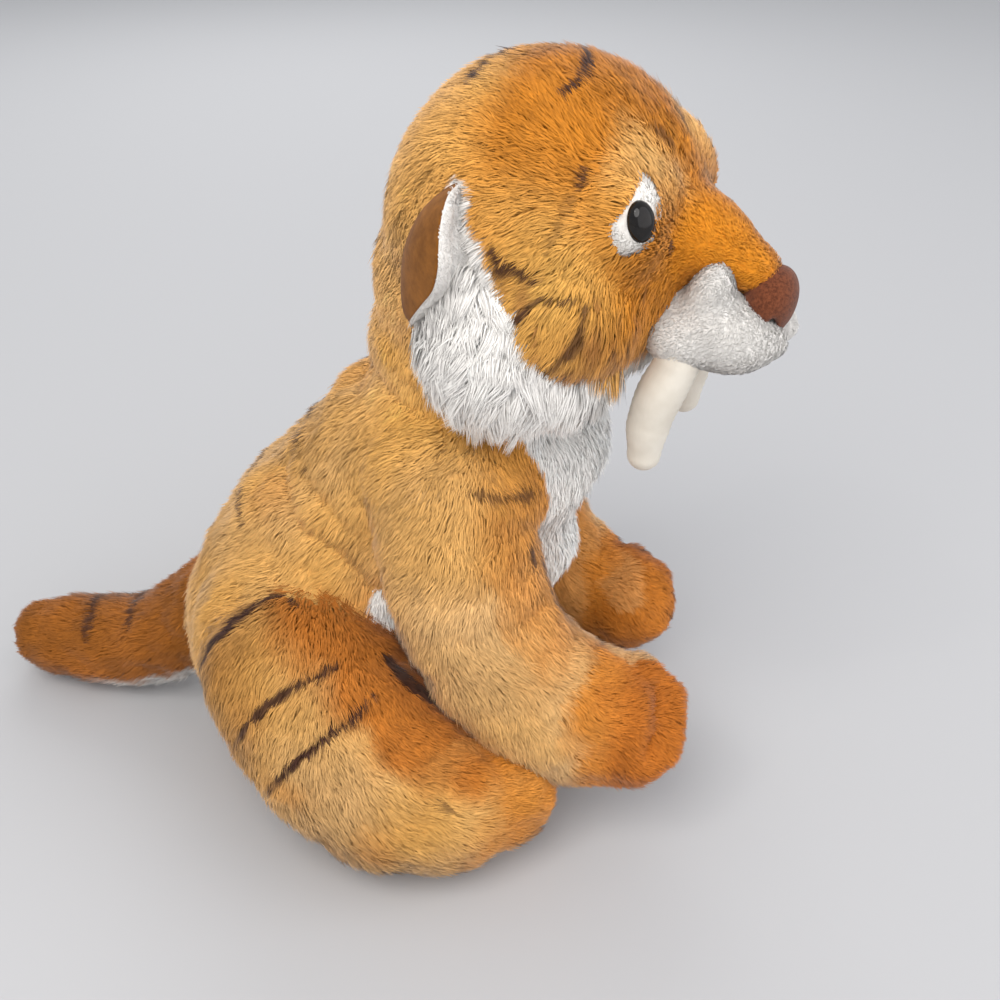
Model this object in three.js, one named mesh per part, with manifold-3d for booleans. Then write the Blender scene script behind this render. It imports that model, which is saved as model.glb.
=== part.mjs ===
// Plush sabre-toothed cat, sitting, about 303 mm tall and 350 mm from nose to tail tip.
// Built the way a sewn soft toy is built: fur-fabric shells open at their sewn roots, a fibre
// filling inside each, a pellet pouch in the seat, felt and velour trim, and plastic safety
// eyes locked by washers from inside the head.
//
// Millimetres, +Z up, the toy looks along -Y, its right side is -X.
// The origin is the middle of the flat seat under the body.
// Points are written V(x, s, z): x to the toy's left, s forward of the seam plane used when the
// toy was measured, z above the floor. The seat's middle lies at s = SEAT_S.
import * as THREE from "three";
import { mergeVertices } from "three/addons/utils/BufferGeometryUtils.js";
import Module from "manifold-3d";

const wasm = await Module();
wasm.setup();

// ---------------------------------------------------------------- driving dimensions
const SEAT_S = -84; // where the seat's middle is, forward of the measuring plane
const PILE = 5; // thickness of a shell: backing cloth plus its pile
const GAP = 0.35; // clearance between touching pieces
const ROOM = 2.1; // clearance between a round root and the socket it turns in
const HEAD_TURN_DEG = -14; // the head rests turned a little to the toy's right

const NECK = [0, -18, 185]; // pivot of the head, centre of the neck ball
const NECK_R = 41; // radius of the neck ball
const HEAD_RIM_Z = 184.5; // lowest part of the head's shell
const SHOULDER_Z = 174; // highest part of the body around the neck ball

const SHOULDER = [50, -8, 137]; // pivot of a front leg
const SHOULDER_R = 28;
const HIP = [65, -78, 72]; // pivot of a hind leg
const HIP_R = 38;
const TAIL_ROOT = [0, -136, 46]; // pivot of the tail
const TAIL_R = 23;
const EAR_MIDDLE = [57, -6, 245]; // middle of the ear where it leaves the head
const TUSK_ROOT = [23, 67, 209]; // root of a sabre tooth
const TUSK_R = 9.2;

const EYE = [33, 53.5, 260]; // middle of an eye's dome
const EYE_R = 7.2;

// how far the soft seams let the pieces swing; the hollows below are cut for these
const LEG_SPLAY = [0, 25]; // hind leg, about the upright, outwards positive
const TAIL_WAG = [-25, 25];
const EAR_FOLD = [-15, 15];

// ---------------------------------------------------------------- helpers
const V = (x, s, z) => new THREE.Vector3(x, -(s - SEAT_S), z);
const P = (a) => V(a[0], a[1], a[2]);

// A three.js geometry as a solid, and back again.
function solid(geometry) {
  const g = geometry.clone();
  g.deleteAttribute("normal");
  g.deleteAttribute("uv");
  const m = mergeVertices(g, 1e-3);
  return new wasm.Manifold(
    new wasm.Mesh({
      numProp: 3,
      vertProperties: new Float32Array(m.attributes.position.array),
      triVerts: new Uint32Array(m.index.array),
    }),
  );
}
// The solid's largest body, so a sliver left by a cut is dropped.
function geometryOf(manifold) {
  const m = manifold.getMesh(),
    n = m.numProp,
    tri = m.triVerts,
    at = m.vertProperties;
  const root = Array.from({ length: at.length / n }, (_, i) => i);
  const find = (i) => {
    while (root[i] !== i) i = root[i] = root[root[i]];
    return i;
  };
  for (let i = 0; i < tri.length; i += 3) {
    root[find(tri[i + 1])] = find(tri[i]);
    root[find(tri[i + 2])] = find(tri[i]);
  }
  const volume = new Map(),
    p = [0, 1, 2].map(() => new THREE.Vector3());
  for (let i = 0; i < tri.length; i += 3) {
    p.forEach((v, k) => v.fromArray(at, tri[i + k] * n));
    const v = p[0].dot(p[1].clone().cross(p[2])) / 6,
      r = find(tri[i]);
    volume.set(r, (volume.get(r) ?? 0) + v);
  }
  const best = [...volume].sort((a, b) => b[1] - a[1])[0][0];
  const position = [],
    index = [],
    number = new Map();
  for (let i = 0; i < tri.length; i++) {
    const v = tri[i];
    if (find(v) !== best) continue;
    if (!number.has(v)) {
      number.set(v, position.length / 3);
      position.push(at[v * n], at[v * n + 1], at[v * n + 2]);
    }
    index.push(number.get(v));
  }
  const g = new THREE.BufferGeometry();
  g.setAttribute("position", new THREE.Float32BufferAttribute(position, 3));
  g.setIndex(index);
  g.computeVertexNormals();
  return g;
}
const join = (...list) => list.reduce((a, b) => a.add(b));
const cut = (a, ...list) => list.reduce((m, b) => m.subtract(b), a);
const swept = (angles, make) => join(...angles.map(make));

// A geometry turned by deg about an axis through the point c.
function turned(g, c, axis, deg) {
  const p = P(c);
  g.translate(-p.x, -p.y, -p.z);
  g.applyMatrix4(
    new THREE.Matrix4().makeRotationAxis(axis, THREE.MathUtils.degToRad(deg)),
  );
  g.translate(p.x, p.y, p.z);
  return g;
}
const X_AXIS = new THREE.Vector3(1, 0, 0),
  Z_AXIS = new THREE.Vector3(0, 0, 1);

// An ellipsoid from a sphere, its centre at c, radii r, dipped by tilt degrees.
function eggGeometry(c, r, tilt = 0, around = 14, along = 10) {
  const g = new THREE.SphereGeometry(1, around, along);
  g.rotateX(Math.PI / 2); // poles up and down
  g.scale(r[0], r[1], r[2]);
  g.rotateX(THREE.MathUtils.degToRad(tilt));
  const p = P(c);
  g.translate(p.x, p.y, p.z);
  return g;
}
const egg = (...a) => solid(eggGeometry(...a));
const ball = (c, r, around = 16, along = 10) =>
  egg(c, [r, r, r], 0, around, along);

// A soft sleeve: a sphere stretched along a curve. stations is a list of [point, radius] or
// [point, radius sideways, radius in the plane of the bend]. more is added to every radius.
function sleeveGeometry(stations, more = 0, around = 14, along = 12) {
  const curve = new THREE.CatmullRomCurve3(
    stations.map((s) => P(s[0])),
    false,
    "centripetal",
  );
  const radius = (t, k) => {
    const f = t * (stations.length - 1),
      i = Math.min(Math.floor(f), stations.length - 2),
      u = f - i,
      e = u * u * (3 - 2 * u);
    const at = (s) => (k === 1 ? s[1] : (s[2] ?? s[1]));
    return at(stations[i]) * (1 - e) + at(stations[i + 1]) * e + more;
  };
  const g = new THREE.SphereGeometry(1, around, along);
  const pos = g.attributes.position,
    side = new THREE.Vector3(1, 0, 0);
  for (let i = 0; i < pos.count; i++) {
    const y = THREE.MathUtils.clamp(pos.getY(i), -1, 1),
      phi = Math.acos(y) / Math.PI; // 0 at the root's pole, 1 at the tip's
    const ring = Math.hypot(pos.getX(i), pos.getZ(i)),
      cx = ring > 1e-9 ? pos.getX(i) / ring : 0,
      cz = ring > 1e-9 ? pos.getZ(i) / ring : 0;
    const cap = 0.26;
    let t = THREE.MathUtils.clamp((phi - cap) / (1 - 2 * cap), 0, 1),
      lift = 0,
      wide = 1;
    if (phi < cap || phi > 1 - cap) {
      const a = (1 - Math.min(phi, 1 - phi) / cap) * (Math.PI / 2);
      lift = Math.sin(a) * (phi < cap ? -1 : 1);
      wide = Math.cos(a);
    }
    const c = curve.getPoint(t),
      T = curve.getTangent(t).normalize();
    const B = side.clone().addScaledVector(T, -side.dot(T)).normalize(),
      N = new THREE.Vector3().crossVectors(B, T);
    const r1 = radius(t, 1),
      r2 = radius(t, 2);
    c.addScaledVector(T, lift * (r1 + r2) * 0.5)
      .addScaledVector(B, cx * wide * r1)
      .addScaledVector(N, cz * wide * r2);
    pos.setXYZ(i, c.x, c.y, c.z);
  }
  // the stretched sphere must keep its faces outwards
  const v = [0, 1, 2].map(() => new THREE.Vector3()),
    idx = g.index.array;
  let volume = 0;
  for (let i = 0; i < idx.length; i += 3) {
    v.forEach((q, k) => q.fromBufferAttribute(pos, idx[i + k]));
    volume += v[0].dot(v[1].clone().cross(v[2]));
  }
  if (volume < 0)
    for (let i = 0; i < idx.length; i += 3)
      [idx[i + 1], idx[i + 2]] = [idx[i + 2], idx[i + 1]];
  return g;
}
const sleeve = (...a) => solid(sleeveGeometry(...a));

// A box given by two corners in V coordinates, used only to cut.
function block(a, b) {
  const p = P(a),
    q = P(b);
  const g = new THREE.BoxGeometry(
    Math.abs(p.x - q.x),
    Math.abs(p.y - q.y),
    Math.abs(p.z - q.z),
  );
  g.translate((p.x + q.x) / 2, (p.y + q.y) / 2, (p.z + q.z) / 2);
  return solid(g);
}
const above = (z) => block([-300, -400, z], [300, 300, 600]);
const below = (z) => block([-300, -400, -200], [300, 300, z]);
const FLOOR = below(0);

// A round peg between two points, used for openings, shanks and washers.
function peg(a, b, r, sides = 12) {
  const p = P(a),
    q = P(b),
    g = new THREE.CylinderGeometry(r, r, p.distanceTo(q), sides);
  g.applyQuaternion(
    new THREE.Quaternion().setFromUnitVectors(
      new THREE.Vector3(0, 1, 0),
      q.clone().sub(p).normalize(),
    ),
  );
  const m = p.clone().add(q).multiplyScalar(0.5);
  g.translate(m.x, m.y, m.z);
  return solid(g);
}
const flip = (c, side) => [c[0] * side, c[1], c[2]];
const sided = (list, side) => list.map((s) => [flip(s[0], side), ...s.slice(1)]);

// ---------------------------------------------------------------- materials
const cloth = (color, roughness = 0.95) =>
  new THREE.MeshStandardMaterial({ color, roughness, metalness: 0 });
const M = {
  tan: cloth(0xd99a4e),
  orange: cloth(0xd98a2b),
  white: cloth(0xe9e7e4),
  cream: cloth(0xe6dfd2, 0.8),
  brown: cloth(0x6b3a26, 0.85),
  suede: cloth(0x9a6226, 0.8),
  felt: cloth(0xe2e0de),
  fibre: cloth(0xf4f4f2),
  pouch: cloth(0xcfc8ba),
  eye: new THREE.MeshStandardMaterial({
    color: 0x14110f,
    roughness: 0.12,
    metalness: 0,
  }),
  washer: new THREE.MeshStandardMaterial({
    color: 0xdedede,
    roughness: 0.45,
    metalness: 0,
  }),
};

const toy = new THREE.Group();
const head = new THREE.Group(); // turned about the neck at rest
function piece(name, manifold, material, group = toy) {
  const mesh = new THREE.Mesh(geometryOf(manifold), material);
  mesh.name = name;
  group.add(mesh);
  return mesh;
}

// ---------------------------------------------------------------- body
const TRUNK = [
  [[0, -84, 60], 66, 63],
  [[0, -70, 88], 63, 60],
  [[0, -50, 114], 57, 56],
  [[0, -32, 137], 52, 52],
  [[0, -19, 156], 47, 47],
];
const trunkGeometry = (more, around = 16, along = 13) =>
  sleeveGeometry(TRUNK, more, around, along);
const body = (...a) => solid(trunkGeometry(...a));
const sockets = (more, around = 12, along = 8) =>
  join(
    ...[-1, 1].flatMap((side) => [
      ball(flip(SHOULDER, side), SHOULDER_R + more, around, along),
      ball(flip(HIP, side), HIP_R + more, around, along),
    ]),
    ball(TAIL_ROOT, TAIL_R + more, around, along),
  );
const neckSocket = (more, around = 14, along = 10) =>
  ball(NECK, NECK_R + more, around, along);

piece(
  "body_shell",
  cut(
    body(0),
    cut(
      body(-PILE, 10, 8),
      sockets(ROOM + PILE + 1, 10, 7),
      neckSocket(ROOM + PILE + 1, 12, 8),
      below(PILE),
      above(SHOULDER_Z - PILE),
    ),
    peg([0, NECK[1], 128], [0, NECK[1], 160], 22, 10), // open at the neck
    sockets(ROOM),
    neckSocket(ROOM),
    above(SHOULDER_Z),
    FLOOR,
  ),
  M.tan,
);

// Pellet pouch low in the seat; the fibre filling is formed around it.
const POUCH = [0, -84, 21];
piece(
  "pellet_pouch",
  cut(
    egg(POUCH, [20, 22, 18], 0, 10, 7).intersect(body(-PILE - GAP, 10, 8)),
    below(PILE + GAP),
  ),
  M.pouch,
);
piece(
  "body_filling",
  cut(
    body(-PILE - GAP, 10, 8),
    sockets(ROOM + PILE + 1 + GAP, 10, 7),
    neckSocket(ROOM + PILE + 1 + GAP, 12, 8),
    egg(POUCH, [20 + GAP * 2, 22 + GAP * 2, 18 + GAP * 2], 0, 10, 7),
    below(PILE + GAP),
    above(SHOULDER_Z - PILE - GAP),
  ),
  M.fibre,
);

// White front panel, laid on the body from the throat to the belly.
const bibOutline = new THREE.Shape();
bibOutline.moveTo(-25, 170);
bibOutline.lineTo(25, 170);
bibOutline.lineTo(22, 130);
bibOutline.lineTo(16, 94);
bibOutline.lineTo(0, 74);
bibOutline.lineTo(-16, 94);
bibOutline.lineTo(-22, 130);
bibOutline.closePath();
const bibGeometry = new THREE.ExtrudeGeometry(bibOutline, {
  depth: 120,
  bevelEnabled: false,
});
bibGeometry.rotateX(Math.PI / 2); // the outline now stands upright
bibGeometry.translate(0, V(0, -46, 0).y, 0);
piece(
  "chest_bib",
  cut(
    body(3),
    body(GAP),
    sockets(ROOM),
    neckSocket(ROOM),
  ).intersect(solid(bibGeometry)),
  M.white,
);

// ---------------------------------------------------------------- neck
// A sleeve of cloth around a firm ball of filling: it turns in the body and nods in the head.
piece(
  "neck_sleeve",
  cut(
    ball(NECK, NECK_R, 14, 10),
    ball(NECK, NECK_R - PILE, 10, 8),
    below(NECK[2] - 30),
    above(NECK[2] + 30),
  ),
  M.tan,
);
piece(
  "neck_filling",
  cut(
    ball(NECK, NECK_R - PILE - GAP, 10, 8),
    below(NECK[2] - 36),
    above(NECK[2] + 36),
  ),
  M.fibre,
);

// ---------------------------------------------------------------- front legs
const ARM = [
  [SHOULDER, SHOULDER_R - 1, SHOULDER_R - 1],
  [[54, -1, 112], 28, 29],
  [[55, 10, 88], 27, 28],
  [[51, 30, 69], 26, 26],
  [[48, 49, 59], 25, 26],
];
for (const [name, side] of [
  ["right", -1],
  ["left", 1],
]) {
  const root = flip(SHOULDER, side),
    arm = sided(ARM, side);
  // the body as the swinging leg meets it, over its whole swing
  const bodyRoom = (more) =>
    join(solid(trunkGeometry(more)), neckSocket(more), above(160 - more));
  const shape = (more, a, b, c, d) =>
    join(
      ball(root, SHOULDER_R + more, a, b),
      cut(sleeve(arm, more, c, d), bodyRoom(ROOM + 1.2 - more)),
    );
  const throat = peg(
    [root[0] - side * 60, root[1], root[2]],
    [root[0] - side * 12, root[1], root[2]],
    13,
  );
  piece(
    `front_leg_${name}`,
    cut(shape(0, 12, 8, 12, 10), shape(-PILE, 8, 6, 8, 7), throat),
    M.tan,
  );
  piece(
    `front_leg_filling_${name}`,
    shape(-PILE - GAP, 8, 6, 8, 7),
    M.fibre,
  );
}

// ---------------------------------------------------------------- hind legs
const LEG = [
  [HIP, HIP_R - 1, HIP_R - 1],
  [[74, -57, 48], 38, 42],
  [[80, -36, 37.5], 32, 38.5],
  [[80, -12, 31], 28, 32.5],
  [[79, 3, 28.5], 25, 29.5],
];
for (const [name, side] of [
  ["right", -1],
  ["left", 1],
]) {
  const root = flip(HIP, side),
    leg = sided(LEG, side);
  const bodyRoom = (more) =>
    swept([LEG_SPLAY[0], LEG_SPLAY[1]], (deg) =>
      solid(turned(trunkGeometry(more), root, Z_AXIS, deg * -side)),
    );
  const shape = (more, a, b, c, d) =>
    join(
      ball(root, HIP_R + more, a, b),
      cut(sleeve(leg, more, c, d), bodyRoom(ROOM + 0.6 - more)),
    );
  const throat = peg(
    [root[0] - side * 70, root[1], root[2]],
    [root[0] - side * 14, root[1], root[2]],
    14,
  );
  piece(
    `hind_leg_${name}`,
    cut(
      shape(0, 12, 8, 12, 10),
      cut(shape(-PILE, 8, 6, 8, 7), below(PILE)),
      throat,
      FLOOR,
    ),
    M.tan,
  );
  piece(
    `hind_leg_filling_${name}`,
    cut(shape(-PILE - GAP, 8, 6, 8, 7), below(PILE + GAP)),
    M.fibre,
  );
}

// ---------------------------------------------------------------- tail
const TAIL = [
  [TAIL_ROOT, TAIL_R - 1],
  [[0, -156, 33], 22],
  [[1, -180, 23], 23],
  [[2, -205, 22], 23.5],
  [[3, -226, 22], 22.5],
];
{
  const bodyRoom = (more) =>
    swept(TAIL_WAG, (deg) =>
      solid(turned(trunkGeometry(more), TAIL_ROOT, Z_AXIS, deg)),
    );
  const legRoom = (more) =>
    swept([TAIL_WAG[0], TAIL_WAG[1]], (deg) =>
      join(
        solid(
          turned(
            eggGeometry(flip(HIP, -1), Array(3).fill(HIP_R + more)),
            TAIL_ROOT,
            Z_AXIS,
            deg,
          ),
        ),
        solid(
          turned(
            eggGeometry(HIP, Array(3).fill(HIP_R + more)),
            TAIL_ROOT,
            Z_AXIS,
            deg,
          ),
        ),
      ),
    );
  const shape = (more, a, b, c, d) =>
    join(
      ball(TAIL_ROOT, TAIL_R + more, a, b),
      cut(sleeve(TAIL, more, c, d), bodyRoom(ROOM + 0.6 - more), legRoom(ROOM - more)),
    );
  const throat = peg([0, -90, 46], [0, -126, 46], 10);
  const shell = cut(
    shape(0, 12, 8, 12, 10),
    cut(shape(-PILE, 8, 6, 8, 7), below(PILE)),
    throat,
    FLOOR,
  );
  // white cloth let into the underside near the root
  const under = [[0, -168, 12], [13, 22, 14]];
  piece("tail_sleeve", cut(shell, egg(under[0], under[1].map((r) => r + GAP))), M.orange);
  piece("tail_underside", shell.intersect(egg(...under)), M.white);
  piece(
    "tail_filling",
    cut(
      shape(-PILE - GAP, 8, 6, 8, 7),
      below(PILE + GAP),
    ),
    M.fibre,
  );
}

// ---------------------------------------------------------------- head
const skull = (more, around = 18, along = 12) =>
  join(
    egg([0, 9, 243], [60, 59, 60].map((r) => r + more), 0, around, along),
    egg([0, -10, 222], [53, 49, 47].map((r) => r + more), 0, around, along - 2),
  );
const SNOUT = [
  [[0, 46, 249], 25, 22],
  [[0, 68, 245], 20, 18],
  [[0, 85, 236], 14, 12],
];
const snout = (more, a = 12, b = 10) => sleeve(SNOUT, more, a, b);
const pad = (side, more) =>
  egg([side * 13, 76, 224], [18, 24, 17].map((r) => r + more), 12, 12, 9);
const chin = (more) => egg([0, 62, 206], [12.5, 20, 10].map((r) => r + more));
const noseBlock = (more) =>
  egg([0, 93, 229], [12, 8.5, 11].map((r) => r + more), -20, 12, 8);
const cheek = (side, more) =>
  egg([side * 37, 32, 226], [25, 28, 27].map((r) => r + more), 0, 14, 9);
const ruff = (side, more) =>
  egg([side * 42, 4, 216], [29, 38, 42].map((r) => r + more), -12, 14, 10);
const patch = (side, more) =>
  egg([side * 31.5, 51.5, 262], [11, 9, 15].map((r) => r + more), 14, 10, 8);
const neckRoom = neckSocket(ROOM);

const outOfFace = new THREE.Vector3(0.54, 0.8, 0.27).normalize();
const eyeAt = (side, d) => [
  side * (EYE[0] + outOfFace.x * d),
  EYE[1] + outOfFace.y * d,
  EYE[2] + outOfFace.z * d,
];
const shank = (side, r) => peg(eyeAt(side, -1), eyeAt(side, -16), r, 6);
const washer = (side, more) =>
  peg(eyeAt(side, -10 + more), eyeAt(side, -12 - more), 8 + more, 10);
const dome = (side, more) => ball(eyeAt(side, 0), EYE_R + more, 12, 6);
const tusk = [
  [TUSK_ROOT, TUSK_R - 1.5, TUSK_R],
  [[24, 62, 196], 7.5, 8.5],
  [[25, 58, 183], 7, 7.5],
  [[25, 59, 173], 5.5, 6],
];
const tuskRoom = (side) => ball(flip(TUSK_ROOT, side), TUSK_R + 1.1, 12, 8);

const faces = [1, -1];
piece(
  "head_shell",
  cut(
    skull(0),
    skull(-PILE, 12, 8),
    neckRoom,
    below(HEAD_RIM_Z),
    ...faces.map((f) => dome(f, GAP)),
    ...faces.map((f) => shank(f, 2.6)),
    ...faces.map((f) => patch(f, GAP)),
    ...faces.map((f) => tuskRoom(f)),
  ),
  M.orange,
  head,
);
piece(
  "head_filling",
  cut(
    skull(-PILE - GAP, 12, 8),
    neckSocket(ROOM + GAP + 1, 12, 8),
    below(HEAD_RIM_Z + GAP),
    ...faces.map((f) => shank(f, 2.8)),
    ...faces.map((f) => dome(f, GAP)),
    ...faces.map((f) => washer(f, GAP)),
    ...faces.map((f) => patch(f, GAP)),
    ...faces.map((f) => tuskRoom(f)),
  ),
  M.fibre,
  head,
);
piece(
  "snout_bridge",
  cut(
    snout(0),
    skull(GAP),
    ...faces.map((f) => pad(f, GAP)),
    noseBlock(GAP),
    ...faces.map((f) => patch(f, GAP)),
  ),
  M.orange,
  head,
);
piece("nose", cut(noseBlock(0), ...faces.map((f) => pad(f, GAP))), M.brown, head);
piece(
  "chin",
  cut(
    chin(0),
    skull(GAP),
    ...faces.map((f) => pad(f, GAP)),
    ...faces.map((f) => tuskRoom(f)),
    neckRoom,
  ),
  M.white,
  head,
);

for (const [name, side] of [
  ["right", -1],
  ["left", 1],
]) {
  const otherSide = block([side * GAP, -400, -100], [-side * 300, 300, 600]);
  piece(
    `whisker_pad_${name}`,
    cut(pad(side, 0), skull(GAP), otherSide, tuskRoom(side)),
    M.white,
    head,
  );
  piece(
    `cheek_${name}`,
    cut(
      cheek(side, 0),
      skull(GAP),
      pad(side, GAP),
      snout(GAP),
      patch(side, GAP),
      chin(GAP),
      tuskRoom(side),
      neckRoom,
    ),
    M.orange,
    head,
  );

  // the ear, and the room that it folds in
  const lean = side * -48;
  const lobeGeometry = (more) => {
    const g = new THREE.SphereGeometry(1, 14, 8);
    g.scale(23 + more, 5.5 + more, 25 + more);
    g.translate(side * 4, 0, 0);
    g.rotateZ(THREE.MathUtils.degToRad(lean));
    const p = P(flip(EAR_MIDDLE, side));
    g.translate(p.x, p.y, p.z);
    return g;
  };
  const half = (way) => {
    const g = new THREE.BoxGeometry(160, 60, 160);
    g.translate(0, way * (30 + GAP / 2), 0);
    g.rotateZ(THREE.MathUtils.degToRad(lean));
    const p = P(flip(EAR_MIDDLE, side));
    g.translate(p.x, p.y, p.z);
    return solid(g);
  };
  const ear = cut(
    solid(lobeGeometry(0)),
    swept(EAR_FOLD, (deg) =>
      join(
        ...[
          [[0, 9, 243], [60, 59, 60]],
          [[0, -10, 222], [53, 49, 47]],
        ].map(([c, r]) =>
          solid(
            turned(
              eggGeometry(c, r.map((x) => x + 0.8), 0, 18, 12),
              flip(EAR_MIDDLE, side),
              Z_AXIS,
              deg,
            ),
          ),
        ),
      ),
    ),
  );
  piece(`ear_back_${name}`, ear.intersect(half(1)), M.suede, head);
  piece(`ear_front_${name}`, ear.intersect(half(-1)), M.white, head);

  piece(
    `ruff_${name}`,
    cut(
      ruff(side, 0),
      skull(GAP),
      cheek(side, GAP),
      neckRoom,
      below(181),
      above(250),
      swept([...EAR_FOLD, 0], (deg) =>
        solid(
          turned(lobeGeometry(1.9), flip(EAR_MIDDLE, side), Z_AXIS, deg),
        ),
      ),
    ),
    M.white,
    head,
  );

  // safety eye: dome and shank in one moulding, locked by a washer inside the cloth
  piece(`eye_${name}`, join(dome(side, 0), shank(side, 2.2)), M.eye, head);
  piece(
    `eye_washer_${name}`,
    cut(washer(side, 0), shank(side, 2.5)),
    M.washer,
    head,
  );
  piece(
    `eye_patch_${name}`,
    cut(
      patch(side, 0),
      skull(-2.6),
      dome(side, GAP),
      shank(side, 2.6),
      otherSide,
    ),
    M.felt,
    head,
  );

  // sabre tooth: a stuffed felt horn on a round root, free to bend at its seam
  piece(
    `sabre_tooth_${name}`,
    join(
      ball(flip(TUSK_ROOT, side), TUSK_R, 12, 8),
      cut(sleeve(sided(tusk, side), 0, 10, 9), above(TUSK_ROOT[2])),
    ),
    M.cream,
    head,
  );
}

// The head rests turned about the neck's upright axis.
const pivot = P(NECK);
const turn = new THREE.Group();
turn.position.copy(pivot);
turn.rotation.z = THREE.MathUtils.degToRad(HEAD_TURN_DEG);
head.position.copy(pivot.clone().negate());
turn.add(head);
toy.add(turn);

export default toy;
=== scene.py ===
import math
import time

import bpy
import numpy as np
from mathutils import Matrix, Vector
from mathutils.bvhtree import BVHTree
from mathutils.kdtree import KDTree


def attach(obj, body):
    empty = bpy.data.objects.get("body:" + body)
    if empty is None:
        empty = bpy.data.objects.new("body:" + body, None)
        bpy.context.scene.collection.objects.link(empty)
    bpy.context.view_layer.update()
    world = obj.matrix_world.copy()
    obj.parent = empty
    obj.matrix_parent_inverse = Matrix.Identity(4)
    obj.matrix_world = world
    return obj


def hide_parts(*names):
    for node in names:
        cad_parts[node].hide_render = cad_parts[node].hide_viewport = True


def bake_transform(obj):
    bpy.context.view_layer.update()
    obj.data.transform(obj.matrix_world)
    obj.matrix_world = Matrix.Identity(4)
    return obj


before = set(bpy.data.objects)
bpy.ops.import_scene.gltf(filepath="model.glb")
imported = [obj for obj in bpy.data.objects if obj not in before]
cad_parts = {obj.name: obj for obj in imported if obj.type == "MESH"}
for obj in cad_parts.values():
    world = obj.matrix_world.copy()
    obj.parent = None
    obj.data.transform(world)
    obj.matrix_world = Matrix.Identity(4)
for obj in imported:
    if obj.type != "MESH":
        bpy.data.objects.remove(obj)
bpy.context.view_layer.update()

T0 = time.perf_counter()

# ------------------------------------------------------------------ sizes, millimetres
# Points are (x, s, z): x to the toy's left, s forward, z above the floor, as in the CAD source.
SEAT_S = -84.0
NECK = (0.0, -18.0, 185.0)
HEAD_TURN = math.radians(-14.0)
PILE = 4.5  # the skins lie this far inside the outline that the pile reaches


def W(p):
    """(x, s, z) in millimetres to the row frame in metres; takes one point or an array."""
    p = np.asarray(p, float)
    return np.stack((p[..., 0], -(p[..., 1] - SEAT_S), p[..., 2]), -1) / 1000.0


def M(co):
    """Row frame in metres back to (x, s, z) in millimetres."""
    co = np.asarray(co, float) * 1000.0
    return np.stack((co[..., 0], SEAT_S - co[..., 1], co[..., 2]), -1)


def smoothstep(a, b, x):
    t = np.clip((x - a) / (b - a), 0, 1)
    return t * t * (3 - 2 * t)


# A value noise over space, the same on every run.
_LAT = np.random.default_rng(5).random((32, 32, 32, 3)) * 2 - 1


def noise3(p, size):
    """Three smooth random numbers from -1 to 1 for each point p, in millimetres, with features of that size."""
    q = np.asarray(p, float) / size + 1000.0
    i = np.floor(q).astype(int)
    f = q - i
    f = f * f * (3 - 2 * f)
    out = 0
    for dx in (0, 1):
        for dy in (0, 1):
            for dz in (0, 1):
                w = (
                    (f[:, 0] if dx else 1 - f[:, 0])
                    * (f[:, 1] if dy else 1 - f[:, 1])
                    * (f[:, 2] if dz else 1 - f[:, 2])
                )
                out = out + w[:, None] * _LAT[
                    (i[:, 0] + dx) % 32, (i[:, 1] + dy) % 32, (i[:, 2] + dz) % 32
                ]
    return out


# ------------------------------------------------------------------ building blocks
def catmull(points, t):
    """Points of a centripetal curve through points, at parameters t from 0 to 1, with tangents."""
    P = np.asarray(points, float)
    n = len(P) - 1
    P = np.vstack((2 * P[0] - P[1], P, 2 * P[-1] - P[-2]))
    u = np.clip(np.asarray(t, float) * n, 0, n - 1e-9)
    k = np.floor(u).astype(int)
    u = (u - k)[:, None]
    a, b, c, d = P[k], P[k + 1], P[k + 2], P[k + 3]
    pos = 0.5 * (
        2 * b + (c - a) * u + (2 * a - 5 * b + 4 * c - d) * u**2 + (3 * b - a - 3 * c + d) * u**3
    )
    tan = 0.5 * (
        (c - a) + 2 * (2 * a - 5 * b + 4 * c - d) * u + 3 * (3 * b - a - 3 * c + d) * u**2
    )
    return pos, tan / np.linalg.norm(tan, axis=1, keepdims=True)


def sphere_grid(around, along):
    """(phi share 0..1 for each ring, faces) of a closed sphere of rings, poles included."""
    verts = [(0.0, 0.0)]
    for j in range(1, along):
        for i in range(around):
            verts.append((j / along, 2 * math.pi * i / around))
    verts.append((1.0, 0.0))
    faces = []
    ring = lambda j, i: 1 + (j - 1) * around + i % around
    for i in range(around):
        faces.append((0, ring(1, i), ring(1, i + 1)))
        for j in range(1, along - 1):
            faces.append((ring(j, i), ring(j + 1, i), ring(j + 1, i + 1), ring(j, i + 1)))
        faces.append((ring(along - 1, i), len(verts) - 1, ring(along - 1, i + 1)))
    return np.array(verts), faces


def egg(c, r, tilt=0.0, yaw=0.0, around=28, along=18):
    """An ellipsoid in (x, s, z): tilt dips its front down, yaw turns it about the upright."""
    g, faces = sphere_grid(around, along)
    phi = g[:, 0] * math.pi
    p = np.stack((np.sin(phi) * np.cos(g[:, 1]), np.sin(phi) * np.sin(g[:, 1]), np.cos(phi)), 1)
    p = p * np.asarray(r if np.ndim(r) else (r, r, r), float)
    a = math.radians(-tilt)
    ca, sa = math.cos(a), math.sin(a)
    p = np.stack((p[:, 0], ca * p[:, 1] - sa * p[:, 2], sa * p[:, 1] + ca * p[:, 2]), 1)
    a = math.radians(yaw)
    ca, sa = math.cos(a), math.sin(a)
    p = np.stack((ca * p[:, 0] - sa * p[:, 1], sa * p[:, 0] + ca * p[:, 1], p[:, 2]), 1)
    return p + np.asarray(c, float), faces


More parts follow.
